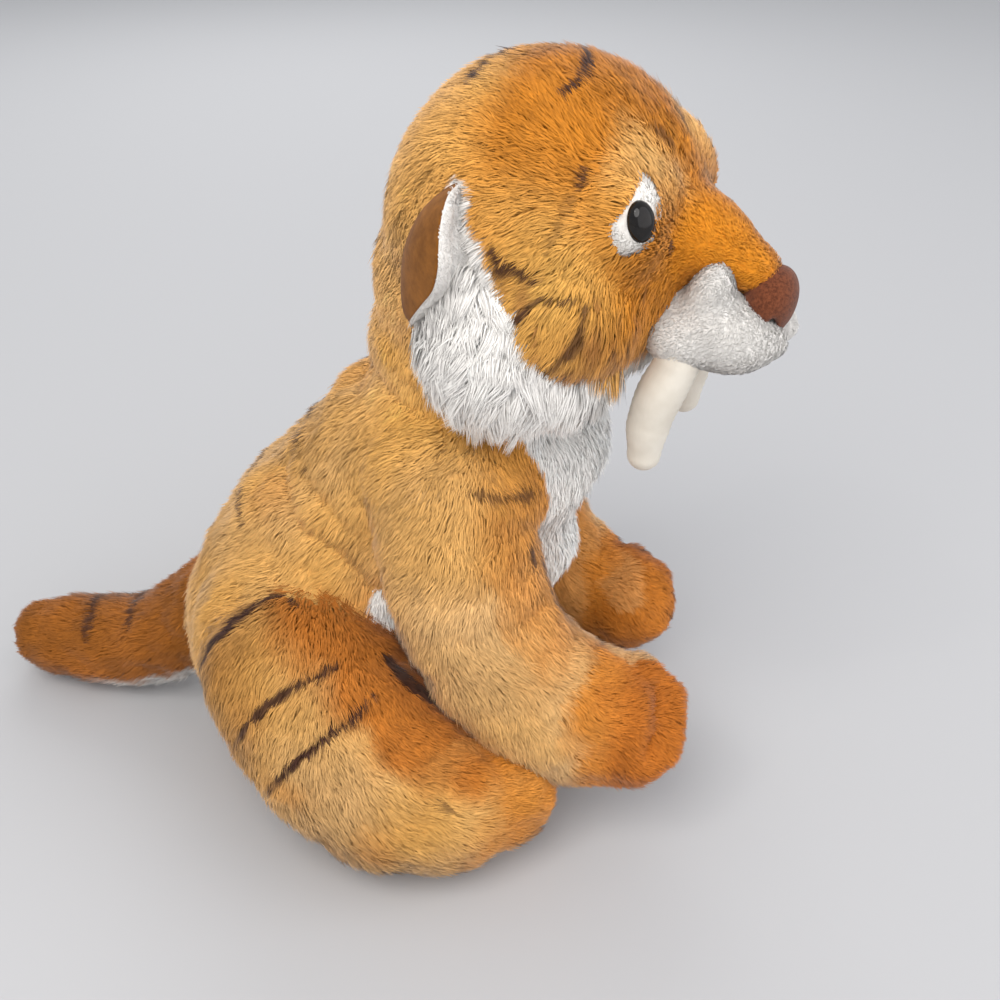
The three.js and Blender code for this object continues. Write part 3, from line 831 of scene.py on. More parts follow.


# Dark markings, and one faint line of painted shade along a flank crease: (points, width, strength); the side that the
# photograph doesn't show has them mirrored, a little moved.
CROWN = [(16, 16, 295), (8, 17, 297), (3.7, 20.9, 297.2), (-7.6, 24.9, 295.9), (-17.3, 25.4, 293.5), (-23.6, 23.5, 291.4)]
HEAD_SIDE = [
    ([(-38, 37, 275), (-40.5, 36.4, 269)], 4.2, 0.9),
    ([(-41.5, 35.5, 268.9), (-44.8, 33.7, 264.9), (-47.6, 32.2, 259.1), (-50.7, 30.4, 251.0)], 2.6, 0.42),
    ([(-54.2, 14.5, 252.1), (-54.4, 17.3, 247.2), (-53.9, 22.6, 246.0), (-52.9, 28.7, 242.0)], 3.0, 0.95),
    ([(-54.7, 15.1, 245.2), (-54.4, 19.7, 245.1)], 3.4, 0.7),
    ([(-54.8, 21.1, 225.0), (-55.2, 25.7, 231.0), (-54.7, 28.6, 235.4), (-54.1, 32.4, 236.8), (-52.6, 39.9, 236.0)], 2.8, 0.95),
    ([(-51.9, 43.5, 234.8), (-53.1, 43.1, 229.1), (-54.2, 40.6, 222.6), (-54.5, 37.1, 219.2), (-53.1, 32.4, 214.4)], 3.6, 0.8),
    ([(-51.4, 28.6, 214.2), (-53.6, 33.6, 217.4)], 4.0, 0.9),
    ([(-24.7, 61.3, 252.6), (-22.7, 61.7, 247.4)], 3.6, 0.85),
    ([(-11.7, 49.1, 282.2), (-10.0, 51.3, 279.4), (-8.2, 53.9, 276.4)], 5.2, 0.62),
    ([(-31.7, 56.2, 238.4), (-33.4, 55.0, 232.7)], 2.4, 0.35),
    ([(-45, 51, 232), (-46, 49, 224), (-44, 46, 216)], 3.0, 0.3),
]
LEG_SIDE = [
    ([(-69, -112, 68), (-74, -108.5, 80), (-75.4, -102.6, 91.1), (-73.3, -97.2, 98.9), (-70.6, -91.9, 103.5), (-67.4, -86.4, 106.1), (-66.2, -80.3, 107.4), (-68.6, -74.1, 105.7)], 3.6, 1.0),
    ([(-91.4, -92.0, 56.7), (-94.6, -84.4, 72), (-93.3, -74.4, 84.3), (-90.9, -66.7, 88.9), (-83.8, -55.2, 93.1)], 3.6, 0.95),
    ([(-101.4, -77.8, 46.0), (-103.8, -67.9, 60.5), (-101.8, -56.8, 72.0), (-96.5, -48.2, 78.4), (-87.9, -39.7, 83.4)], 3.4, 1.0),
    ([(-103.0, -12.7, 52.2), (-102.9, -7.7, 48.6)], 2.6, 0.6),
    ([(-70.0, -39.6, 87.8), (-73.2, -33.7, 82.8), (-74.0, -29.0, 77.2), (-74.7, -22.4, 70.3)], 8.0, 0.95),
]
BODY_SIDE = [
    ([(4, -83, 149.8), (-8, -85, 146.8), (-20.0, -82.0, 146.2), (-30, -76, 144)], 3.2, 0.85),
    ([(4, -110, 122.4), (-10, -110.5, 121.2), (-23.7, -107.0, 119.6), (-33, -101, 116)], 3.6, 0.9),
    # painted shade, not a marking: a faint dark line along the flank crease that fold() presses in
    ([(-43.2, -73.9, 127.8), (-44.9, -66.9, 128.1), (-49.0, -59.3, 124.5), (-50.8, -53.3, 118.1), (-50.9, -47.7, 111.9)], 3.0, 0.34),
    ([(-60.8, -43.9, 90.9), (-54.3, -40.2, 84.9), (-40.6, -37.5, 70.6)], 7.0, 0.8),
    ([(-44, 14, 155), (-52, 8, 156), (-58, 3, 158)], 3.0, 0.8),
]
ARM_SIDE = [
    ([(-66.1, -7.6, 162.4), (-62.9, -0.5, 160.2), (-57.3, 6.9, 157.2)], 2.8, 0.75),
    ([(-55.0, 9.0, 155.6), (-49.2, 11.6, 153.4), (-43.2, 14.8, 150.9)], 3.0, 0.8),
    ([(-55.8, 15.0, 138), (-55.2, 15.8, 131.8), (-57.2, 16.6, 126.9)], 3.6, 0.85),
    ([(-46, 18.8, 119), (-48.8, 21.3, 112.1), (-45.2, 24.4, 100.1)], 3.2, 0.85),
    ([(-43.7, 15.7, 131), (-47.1, 17.1, 125.7), (-44.5, 18.2, 117.1)], 3.0, 0.8),
    ([(-39.4, 37.2, 80), (-50.5, 37.6, 86.3)], 3.6, 0.6),
]
LINES = {
    "head": HEAD_SIDE
    + [(mirrored(q, 0.8, 1.0, -0.6), w, k) for q, w, k in HEAD_SIDE]
    + [
        (CROWN, 3.4, 1.0),
        ([(7, -3.0, 298), (1, -6.0, 297), (-5, -9.0, 296)], 4.4, 1.0),
        ([(-6, -10.0, 295.5), (-13.0, -9.5, 294), (-20, -9.4, 291.0)], 4.4, 1.0),
        ([(14, -14, 293), (22, -12, 290)], 3.0, 0.7),
        ([(22.1, 43.7, 282.7), (24, 47, 279)], 4.0, 0.5),
    ],
    "torso": BODY_SIDE + [(mirrored(q, 1.0, -1.5, 0.8), w, k) for q, w, k in BODY_SIDE],
    "tail": [
        ([(14, -176, 38), (7, -176.4, 44.6), (-4, -177, 45.5), (-13, -176, 41)], 4.2, 0.85),
        ([(12, -202, 34), (4, -201, 39.9), (-7.6, -199, 38.9), (-15, -197, 33)], 4.6, 0.85),
    ],
    "arm_right": ARM_SIDE,
    "arm_left": [(mirrored(q, -0.8, -2.0, 1.0), w, k) for q, w, k in ARM_SIDE],
    "leg_right": LEG_SIDE,
    "leg_left": [(mirrored(q, -0.6, 1.4, -0.9), w, k) for q, w, k in LEG_SIDE],
}

def laid(key, lines, reach):
    """Markings drawn on a skin: each point moves to the nearest place on it; what lies too far from it is left out."""
    out = []
    for line, width, strength in lines:
        pos, _ = catmull(line, np.linspace(0, 1, max(5, int(len(line) * 2.5))))
        on = []
        for q in pos:
            loc, _, _, d = BVH[key].find_nearest(Vector(q))
            if d < reach:
                on.append(np.array(loc))
        if len(on) > 1:
            out.append((np.array(on), width, strength))
    return out


LINES["torso"] = LINES["torso"] + LINES["arm_right"] + LINES["arm_left"] + LINES["leg_right"] + LINES["leg_left"]
LINES = {key: laid(key, lines, 7.5 if key == "torso" else 10.0) for key, lines in LINES.items()}

# White fur below the ear, seen from the side: outline in (s, z), straight-ahead head.
RUFF_EDGE = np.array([
    (-3.0, 270), (2.6, 269.9), (4.9, 263.6), (6.6, 257.1), (9.9, 253.1), (13.7, 246.7), (17.5, 235.8), (22.1, 225.2),
    (27.0, 216.2), (31.5, 207.2), (40.4, 203.5), (46, 196), (40, 170), (0, 168), (-24, 172), (-16, 188), (-16, 200),
    (-18, 212), (-17, 221), (-12, 229), (-8, 238), (-5, 248), (-5, 259), (-6, 266),
])
PATCH_EDGE = np.array([
    (-20.2, 53.4, 273.2), (-21.9, 55.8, 270.5), (-25.1, 58.4, 267.3), (-27.6, 59.9, 264.5), (-31.9, 59.6, 259.2),
    (-33.9, 59.0, 255.0), (-36.5, 57.6, 251.5), (-39.8, 55.4, 250.6), (-41.8, 52.6, 251.0), (-42.6, 49.6, 254.2),
    (-42.2, 48.1, 257.2), (-41.5, 48.1, 260.8), (-40.0, 48.8, 264.6), (-38.2, 49.1, 267.5), (-34.1, 50.0, 270.9), (-28.1, 51.9, 273.8),
])


def inside(poly, a, b):
    """Signed distance to a flat outline: above zero inside it."""
    poly = np.asarray(poly, float)
    odd = np.zeros(len(a), bool)
    d = np.full(len(a), 1e9)
    for (x0, y0), (x1, y1) in zip(poly, np.roll(poly, -1, 0)):
        cross = (y0 > b) != (y1 > b)
        odd ^= cross & (a < (x1 - x0) * (b - y0) / (y1 - y0 + 1e-12) + x0)
        t = np.clip(((a - x0) * (x1 - x0) + (b - y0) * (y1 - y0)) / ((x1 - x0) ** 2 + (y1 - y0) ** 2), 0, 1)
        d = np.minimum(d, np.hypot(a - x0 - t * (x1 - x0), b - y0 - t * (y1 - y0)))
    return np.where(odd, d, -d)


def ruff_mask(p):
    k = inside(RUFF_EDGE, p[:, 1], p[:, 2]) + 0.8 * noise3(p, 6)[:, 0]
    k = np.where(np.abs(p[:, 0]) > 24, k, -9)
    return smoothstep(-0.7, 0.7, k)


# Seams of the ear, top to bottom: front edge, rim and back edge; right side, straight-ahead head.
EAR_F = [(-47.7, 2.7, 268.9), (-50.4, 4.9, 263.6), (-52.7, 7.0, 257.2), (-54.7, 10.4, 248.3), (-54.1, 9.1, 237), (-52, 1, 227), (-49, -12, 220)]
EAR_R = [(-52, 1.2, 270), (-60.5, 2.2, 269.2), (-67.5, 3.4, 264.6), (-71.4, 4.2, 258.1), (-72.4, 4.2, 250.5), (-70, 1.0, 241.9), (-65, -6, 233.5), (-59, -13.5, 224.5), (-52, -16.5, 219.5)]
EAR_B = [(-48, -3.8, 268.0), (-50.5, -13.5, 259.0), (-49.5, -20.5, 247.3), (-47.5, -24.0, 236.6), (-46.6, -24.0, 226.6), (-47, -20.5, 219)]

EYE = np.array((-30.0, 52.5, 259.4))
EYE_OUT = np.array((-0.54, 0.8, 0.27))
EYE_OUT = EYE_OUT / np.linalg.norm(EYE_OUT)
EYE_A = np.cross(EYE_OUT, (0, 0, 1.0))
EYE_A /= np.linalg.norm(EYE_A)
EYE_B = np.cross(EYE_A, EYE_OUT)
PATCH_FLAT = np.stack(((PATCH_EDGE - EYE) @ EYE_A, (PATCH_EDGE - EYE) @ EYE_B), 1)
PATCH_FLAT = PATCH_FLAT.mean(0) + (PATCH_FLAT - PATCH_FLAT.mean(0)) * 0.97
PATCH_FLAT[:, 0] += (2.2 - PATCH_FLAT[:, 0]) * 0.66 * smoothstep(1.0, 13.0, PATCH_FLAT[:, 1])


def patch_mask(p, soft=0.6, more=0.0):
    q = p * np.stack((-np.sign(p[:, 0] + 1e-9), np.ones(len(p)), np.ones(len(p))), 1)
    k = inside(PATCH_FLAT, (q - EYE) @ EYE_A, (q - EYE) @ EYE_B)
    near = np.linalg.norm(q - EYE, axis=1) < 26
    return np.where(near, smoothstep(-soft, soft, k + more), 0)


def field_torso(p, nor):
    n = len(p)
    d = base_dir((0, -0.55, -0.85), n)
    front = smoothstep(-30, 10, p[:, 1])
    d = d * (1 - front)[:, None] + base_dir((0, 0.15, -1), n) * front[:, None]
    w = bib_mask(p)
    return dict(
        dir=d, len=np.where(w > 0.5, 8.5, 8.0), rise0=np.full(n, 50.0), rise1=np.full(n, 13.0),
        wide=np.full(n, 0.46), paint=lambda q: paint_torso(q, nor),
    )


def limb_field(key, stations, flip=1):
    def field(p, nor):
        n = len(p)
        t, tan, pos = along(stations, p)
        hang = (1 - smoothstep(0.05, 0.4, t))[:, None] * (0.0 if key == "tail" else 6.0)
        return dict(
            dir=tan * flip + base_dir((0, -0.25, -1), n) * hang, len=np.interp(t, [0, 0.7, 1], [8.5, 8.0, 6.0]), rise0=np.full(n, 50.0),
            rise1=np.full(n, 13.0), wide=np.full(n, 0.46), paint=lambda q: PAINT[key.split("_")[0]](key, q, nor, t),
        )
    return field


def paint_arm(key, p, nor, t):
    col = mix(TAN, CREAM, 0.35 + 0.5 * noise3(p, 20)[:, 0])
    col = mix(col, GOLD, 0.5 * smoothstep(0.0, 0.8, noise3(p, 30)[:, 1]))
    col = mix(col, TAN * 0.5 + GOLD * 0.5, smoothstep(0.25, 0.05, t))
    side = np.sign(p[:, 0])
    back = 0 if key == "arm_right" else 8
    inner = smoothstep(-0.1, 0.6, -nor[:, 0] * side) * smoothstep(0.75, 0.4, t)
    front = smoothstep(0.25, 0.8, nor[:, 1]) * smoothstep(0.7, 0.45, t)
    col = mix(col, ORANGE, 0.6 * np.maximum(inner, front))
    col = mix(col, DEEP, 0.2 * inner)
    at = p[:, 1] + back + 5 * noise3(p, 13)[:, 1]
    col = mix(col, ORANGE, smoothstep(29, 38, at) * smoothstep(0.5, 0.62, t) * 0.9)
    col = mix(col, srgb(180, 100, 26), smoothstep(34, 54, at + 4 * noise3(p, 8)[:, 0]) * smoothstep(0.5, 0.62, t) * 0.9)
    # painted shade: the crease between the toes is darkened with brown
    toe_crease_shade = near_line(np.stack((np.abs(p[:, 0]), p[:, 1] + back, p[:, 2] + back), 1), [(54, 62, 76), (60, 63, 72), (65, 63, 67)])[0]
    col = mix(col, BROWN, 0.4 * smoothstep(7, 1, toe_crease_shade))
    up = -0.5 * nor[:, 0] * side + 0.86 * nor[:, 2] + 0.1 * noise3(p, 9)[:, 0]
    rim = smoothstep(0.52, 0.62, t) * np.maximum(smoothstep(0.84, 0.95, up), smoothstep(0.7, 0.98, -nor[:, 2]))
    col = mix(col, CREAM, 0.75 * rim)
    # painted shade: the far front leg's inner side, facing the near leg and the body, is darker orange
    if key == "arm_left":
        col = mix(col, ORANGE * 0.5 + DEEP * 0.5, 0.6 * smoothstep(-0.3, 0.3, -nor[:, 0]))
    return mix(col, LINE_BROWN, dark_lines(p, LINES[key]))


def paint_leg(key, p, nor, t):
    col = mix(GOLD, TAN, 0.55 + 0.6 * noise3(p, 22)[:, 0])
    col = mix(col, ORANGE, 0.35 * smoothstep(0.0, 0.8, noise3(p, 17)[:, 2]))
    col = mix(col, CREAM, 0.35 * smoothstep(0.1, 0.8, noise3(p, 26)[:, 1]))
    ridge = p[:, 2] - np.interp(p[:, 1], [-110, -80, -62, -45, -25, 0], [128, 104, 92, 79, 66, 54])
    col = mix(col, srgb(188, 110, 32), 0.95 * smoothstep(-11, 3, ridge + 7 * noise3(p, 14)[:, 0]) * smoothstep(-100, -84, p[:, 1]))
    col = mix(col, ORANGE, 0.8 * smoothstep(0.72, 0.98, t + 0.06 * noise3(p, 12)[:, 0]) * smoothstep(10, 26, p[:, 2]))
    # painted shade: the whole hind leg is 0.92 times darker, and its back is darker and browner still
    col = mix(col, srgb(176, 122, 58), 0.6 * smoothstep(-68, -92, p[:, 1] + 5 * noise3(p, 16)[:, 1])) * 0.92
    return mix(col, LINE_BROWN, dark_lines(p, LINES[key]))


def paint_tail(key, p, nor, t):
    # the tail is deep orange, darkened further towards brown as painted shade, since the tail lies back in shadow
    col = mix(DEEP, srgb(140, 82, 20), 0.75 + 0.5 * noise3(p, 18)[:, 0])
    col = mix(col, LINE_BROWN, dark_lines(p, LINES["tail"]))
    under = smoothstep(0.35, 0.7, -nor[:, 2]) * smoothstep(0.72, 0.5, t)
    return mix(col, WHITE, under)


PAINT = {"arm": paint_arm, "leg": paint_leg, "tail": paint_tail}


def paint_head(p, nor):
    n = noise3(p, 18)
    col = mix(GOLD, ORANGE, 0.2 + 0.25 * n[:, 1])
    crown = smoothstep(262, 284, p[:, 2] + 7 * n[:, 0]) * smoothstep(-6, 12, p[:, 1])
    col = mix(col, srgb(190, 114, 16), 0.9 * crown)
    face = smoothstep(38, 60, p[:, 1] + 6 * n[:, 0]) * smoothstep(206, 228, p[:, 2])
    col = mix(col, srgb(200, 122, 10), 0.9 * face)
    pale = blob(p, (-54, 30, 240), 15, 15)
    col = mix(col, srgb(214, 165, 84), 0.75 * pale)
    # painted light: the brow beside the eye patch is lightened where the hollow between brow and snout lies in shade
    pale = blob(p, (-22, 52, 273), 12, 10)
    col = mix(col, srgb(234, 180, 106), 0.85 * pale)
    # the back of the head is a lighter tan-gold, made 1.16 times brighter as painted light from above and behind
    back = smoothstep(4, -34, p[:, 1])
    col = mix(col, mix(GOLD, TAN, 0.4 + 0.4 * n[:, 2]) * 1.16, 0.85 * back)
    cheek = smoothstep(252, 232, p[:, 2]) * smoothstep(6, 16, p[:, 1]) * smoothstep(64, 52, p[:, 1])
    streak = noise3(p * (1, 1, 0.22), 2.6)[:, 0] * 0.65 + noise3(p * (1, 1, 0.3), 6.0)[:, 1] * 0.5
    col = mix(col, BROWN, 0.62 * cheek * smoothstep(0.08, 0.75, streak))
    tuft = smoothstep(219, 207, p[:, 2]) * smoothstep(20, 32, p[:, 1])
    col = mix(col, srgb(198, 136, 84), 0.7 * tuft)
    col = mix(col, BROWN * 0.8, 0.4 * blob(p, (-52, 46, 225), 4, 7))
    col = mix(col, LINE_BROWN, dark_lines(p, LINES["head"]))
    throat = smoothstep(213, 207, p[:, 2]) * smoothstep(27, 23, np.abs(p[:, 0]) + 1.5 * n[:, 0]) * smoothstep(8, 16, p[:, 1])
    return mix(col, WHITE, np.maximum(ruff_mask(p), throat))


NOSE_TIP = np.array((0, 98, 236.0))


def field_head(p, nor):
    n = len(p)
    v = p - NOSE_TIP
    v /= np.linalg.norm(v, axis=1, keepdims=True)
    low = smoothstep(284, 234, p[:, 2]) * smoothstep(66, 46, p[:, 1])
    backside = smoothstep(0, -40, p[:, 1])
    d = v + (base_dir((0, -0.1, -1), n)) * (1.9 * low + 1.2 * backside)[:, None]
    snout = smoothstep(52, 72, p[:, 1])
    by_ear = near_line(p * np.stack((-np.sign(p[:, 0]), np.ones(n), np.ones(n)), 1), EAR_B)[0]
    by_ear = smoothstep(13, 6, by_ear)
    cheek = smoothstep(250, 222, p[:, 2]) * smoothstep(8, 20, p[:, 1]) * smoothstep(66, 54, p[:, 1])
    ruff = ruff_mask(p)
    L = 7.0 + 2.8 * cheek * (1 - ruff) - 4.2 * snout + 4.0 * ruff * smoothstep(250, 225, p[:, 2])
    lobe = near_line(p * np.stack((-np.sign(p[:, 0]), np.ones(n), np.ones(n)), 1), EAR_F[:5])[0]
    lobe = smoothstep(14, 7, lobe) * ruff
    L = L * (1 - 0.45 * by_ear) * (1 - 0.62 * lobe)
    d = d * (1 - ruff)[:, None] + base_dir((0, -0.12, -1), n) * ruff[:, None]
    return dict(
        dir=d, len=L, rise0=50 - 18 * snout - 14 * by_ear - 20 * lobe, rise1=13 - 8 * by_ear - 9 * snout + 8 * cheek - 8 * lobe, wide=0.46 - 0.08 * snout,
        drop=patch_mask(p, 0.6, -1.2) > 0.5,
        paint=lambda q: paint_head(q, nor), fall=0.35 * cheek, head=True, floor=False,
    )


def field_muzzle(p, nor):
    n = len(p)
    v = p - np.array((0, 92, 222.0))
    d = v / (np.linalg.norm(v, axis=1, keepdims=True) + 1e-9) + base_dir((0, -0.3, -0.4), n)
    return dict(
        dir=d, len=np.full(n, 2.0), rise0=np.full(n, 32.0), rise1=np.full(n, 5.0), wide=np.full(n, 0.36),
        col=np.tile(WHITE * 0.77, (n, 1)), head=True, floor=False, swirl=0.2,
    )


def field_ruff(p, nor):
    n = len(p)
    side = np.sign(p[:, 0])
    d = base_dir((0, -0.18, -1), n)
    low = smoothstep(236, 196, p[:, 2])
    return dict(
        dir=d, len=10.5 + 6.5 * low, rise0=34 + 0 * low, rise1=4 + 8 * low, wide=np.full(n, 0.52),
        paint=lambda q: mix(GOLD, WHITE, smoothstep(-1.5, 1.5, inside(RUFF_EDGE, q[:, 1], q[:, 2]) + 2.5)), head=True, floor=False, fall=0.3 * low, swirl=0.36, drift=0.3, wave=9.0, ragged=0.2, curl=1.25,
    )


def cover(key, name, field, per_mm2, hide, seed, clump=18, tight=0.42, by=4.0):
    o = skins[key]
    root, nor, (tri, w) = scatter(o, per_mm2 * DENSITY, seed)
    if hide:
        h = hidden_by(key, hide, by).astype(float)
        keep = (h[tri] * w).sum(1) < 0.5
        root, nor = root[keep], nor[keep]
    out = []
    split = max(1, math.ceil(len(root) / 62000))
    print("pile", name, len(root), split)
    order = np.argsort(root[:, 0], kind="stable") if split > 1 else np.arange(len(root))
    for k, part in enumerate(np.array_split(order, split)):
        part = np.sort(part)
        r, nn = root[part], nor[part]
        f = field(r, nn)
        if "drop" in f:
            hold = ~f.pop("drop")
            r, nn = r[hold], nn[hold]
            f = field(r, nn)
            f.pop("drop")
        if DENSITY < 1:
            f["wide"] = f["wide"] * 1.4
        out.append(pile_mesh(name + ("" if split == 1 else "_%d" % (k + 1)), r, nn, f, seed + k, clump, tight))
    PILES[key] = out
    return out


def paint_skin(key, field):
    """The cloth under the pile takes the pile's colour, 1.2 times lighter as painted light against the shade in the
    gaps between strands.
    """
    o = skins[key]
    p, nor = mm_of(o)
    f = field(p, nor)
    # painted light: 1.2 times the pile's colour, against the shade between strands
    c = (f["paint"](p) if "paint" in f else f["col"]) * 1.2
    c = np.clip(c, 0, 0.92)
    c = np.concatenate((c, np.ones((len(c), 1))), 1)
    o.data.color_attributes.new("Col", "FLOAT_COLOR", "POINT").data.foreach_set(
        "color", c.astype(np.float32).ravel()
    )


def lay_skin(o):
    o.data.attributes.new("Lay", "FLOAT_VECTOR", "POINT").data.foreach_set(
        "vector", normals(o).astype(np.float32).ravel()
    )


FIELDS = {"torso": field_torso, "neck": field_torso, "head": field_head, "muzzle": field_muzzle, "ruff_right": field_ruff, "ruff_left": field_ruff}
for name, side in (("right", -1), ("left", 1)):
    FIELDS["arm_" + name] = limb_field("arm_" + name, sided(ARM, side))
    FIELDS["leg_" + name] = limb_field("leg_" + name, sided(LEG, side))
FIELDS["tail"] = limb_field("tail", TAIL)

cover("torso", "pile_body", field_torso, 2.9, ["arm_right", "arm_left", "leg_right", "leg_left", "head"], 21)
for name in ("right", "left"):
    cover("arm_" + name, "pile_front_leg_" + name, FIELDS["arm_" + name], 3.0, ["torso"], 31)
    cover("leg_" + name, "pile_hind_leg_" + name, FIELDS["leg_" + name], 3.0, ["torso"], 41)
    cover("ruff_" + name, "pile_ruff_" + name, field_ruff, 3.2, ["head"], 61, clump=60, tight=0.7, by=2.5)
cover("tail", "pile_tail", FIELDS["tail"], 3.0, ["torso"], 51)
cover("neck", "pile_neck", field_torso, 2.9, ["torso", "head", "ruff_right", "ruff_left"], 25)
cover("head", "pile_head", field_head, 3.2, ["ruff_right", "ruff_left", "torso", "muzzle"], 71, by=3.0)
cover("muzzle", "pile_muzzle", field_muzzle, 6.0, ["head"], 81, by=3.0)
for key in skins:
    paint_skin(key, FIELDS[key])
for key in HEAD_KEYS:
    set_points(skins[key], turned_head(points(skins[key])))
for o in skins.values():
    lay_skin(o)

# ------------------------------------------------------------------ ears, patches, eyes, nose and fangs
def closed_sheet(name, grid, inward):
    """A closed thin piece: grid (rows, columns, 3) is its outer face, inward how far each point's inner twin lies."""
    grid = np.asarray(grid, float)
    nu, nv = grid.shape[:2]
    outer = grid.reshape(-1, 3)
    inner = (grid + inward).reshape(-1, 3)
    co = np.vstack((outer, inner))
    m = nu * nv
    faces = []
    for a in range(nu - 1):
        for b in range(nv - 1):
            q = (a * nv + b, a * nv + b + 1, (a + 1) * nv + b + 1, (a + 1) * nv + b)
            faces.append(q)
            faces.append(tuple(m + k for k in q[::-1]))
    rim = [b for b in range(nv)] + [a * nv + nv - 1 for a in range(1, nu)]
    rim += [(nu - 1) * nv + b for b in range(nv - 2, -1, -1)] + [a * nv for a in range(nu - 2, 0, -1)]
    for k in range(len(rim)):
        a, b = rim[k], rim[(k + 1) % len(rim)]
        faces.append((b, a, m + a, m + b))
    o = mesh_object(name, W(co), faces)
    outward(o)
    return o


def resample(line, n):
    line = np.asarray(line, float)
    pos, _ = catmull(line, np.linspace(0, 1, n))
    return pos


def ear(side, name):
    flip = np.array((-1.0 if side > 0 else 1.0, 1, 1))
    n = 44
    F, R, B = (resample(q, n) * flip for q in (EAR_F, EAR_R, EAR_B))
    sx = np.array((1.0 * (1 if side > 0 else -1), 0, 0))
    F, B = F - sx * 5.0, B - sx * 5.0
    mid = (F + B) / 2
    v = np.linspace(0, 1, 18)
    soft = np.sin(np.linspace(0, 1, n) * math.pi) ** 0.7
    front, back = [], []
    for k in v:
        t = k**0.8
        # front: a shallow dish towards the rim, back: full
        f = F * (1 - t) + R * t
        f = f + (mid - f) * (0.20 * math.sin(math.pi * t))
        f = f + np.array((0, 1.5, 0)) * (soft * math.sin(math.pi * min(1, max(0, (t - 0.72) / 0.28))))[:, None]
        b = B * (1 - t) + R * t
        b = b + sx * (4.6 * soft * math.sin(math.pi * t**0.75))[:, None] + np.array((0, -2.2, 0)) * (soft * math.sin(math.pi * t))[:, None]
        front.append(f)
        back.append(b)
    front, back = np.stack(front, 1), np.stack(back, 1)
    thin = 1.6
    inF = mid[:, None, :] - front
    inF /= np.linalg.norm(inF, axis=2, keepdims=True)
    inB = mid[:, None, :] - back
    inB /= np.linalg.norm(inB, axis=2, keepdims=True)
    fo = closed_sheet("ear_front_cloth_" + name, front, inF * thin)
    bo = closed_sheet("ear_back_cloth_" + name, back + inB * 0.05, inB * thin)
    return fo, bo


def patch(side, name):
    """White cloth patch round the eye, laid on the head and padded a little."""
    flip = np.array((-1.0 if side > 0 else 1.0, 1, 1))
    n = 64
    loop = np.vstack((PATCH_FLAT, PATCH_FLAT[:1]))
    seg = np.r_[0, np.cumsum(np.linalg.norm(np.diff(loop, axis=0), axis=1))]
    at = np.linspace(0, seg[-1], n, endpoint=False)
    ring = np.stack((np.interp(at, seg, loop[:, 0]), np.interp(at, seg, loop[:, 1])), 1)
    mid = PATCH_FLAT.mean(0)
    if side > 0:  # the far patch sits a little further round, and lower
        ring = ring * np.where(ring[:, 1:] > 3, 0.72, 1.0) - (3.2, 0)
        mid = mid - (3.2, 0)
    tree = BVH["head"]
    co, rings = [], []
    for share, lift in ((0.0, 1.5), (0.25, 1.5), (0.5, 1.45), (0.72, 1.3), (0.88, 1.0), (0.96, 0.55), (1.0, -0.5), (0.98, -2.4), (0.6, -2.6), (0.0, -2.6)):
        row = []
        for q in ([mid] if share == 0 else mid + (ring - mid) * share):
            start = EYE + EYE_A * q[0] + EYE_B * q[1] + EYE_OUT * 30
            loc, nor, _, d = tree.ray_cast(Vector(start), Vector(-EYE_OUT))
            if loc is None:
                loc, nor, _, d = tree.find_nearest(Vector(start - EYE_OUT * 30))
            row.append(len(co))
            co.append((np.array(loc) + EYE_OUT * (lift if side < 0 else min(lift, 0.8))) * flip)
        rings.append(row)
    faces = []
    for a, b in zip(rings[:-1], rings[1:]):
        if len(a) == 1:
            faces += [(a[0], b[k], b[(k + 1) % n]) for k in range(n)]
        elif len(b) == 1:
            faces += [(a[k], b[0], a[(k + 1) % n]) for k in range(n)]
        else:
            faces += [(a[k], b[k], b[(k + 1) % n], a[(k + 1) % n]) for k in range(n)]
    o = mesh_object("eye_patch_cloth_" + name, W(np.array(co)), faces)
    outward(o)
    return o


def dome(side, name):
    """Black safety eye: a polished dome on a low collar, sunk in the patch."""
    flip = np.array((-1.0 if side > 0 else 1.0, 1, 1))
    g, faces = sphere_grid(56, 40)
    phi = g[:, 0] * math.pi
    x, y, z = np.sin(phi) * np.cos(g[:, 1]), np.sin(phi) * np.sin(g[:, 1]), np.cos(phi)
    r = 6.55
    rise = np.where(z > 0, z * (4.2 if side < 0 else 3.2), z * 2.0)
    at = np.array(BVH["head"].ray_cast(Vector(EYE - EYE_A * (4.2 if side < 0 else 5.2) + EYE_OUT * 30), Vector(-EYE_OUT))[0])
    p = at + EYE_OUT * ((0.1 if side < 0 else -0.6) + rise)[:, None] + EYE_A * (x * r * 0.74)[:, None] + EYE_B * (y * r)[:, None]
    o = mesh_object("eye_dome_" + name, W(p * flip), faces)
    outward(o)
    return o


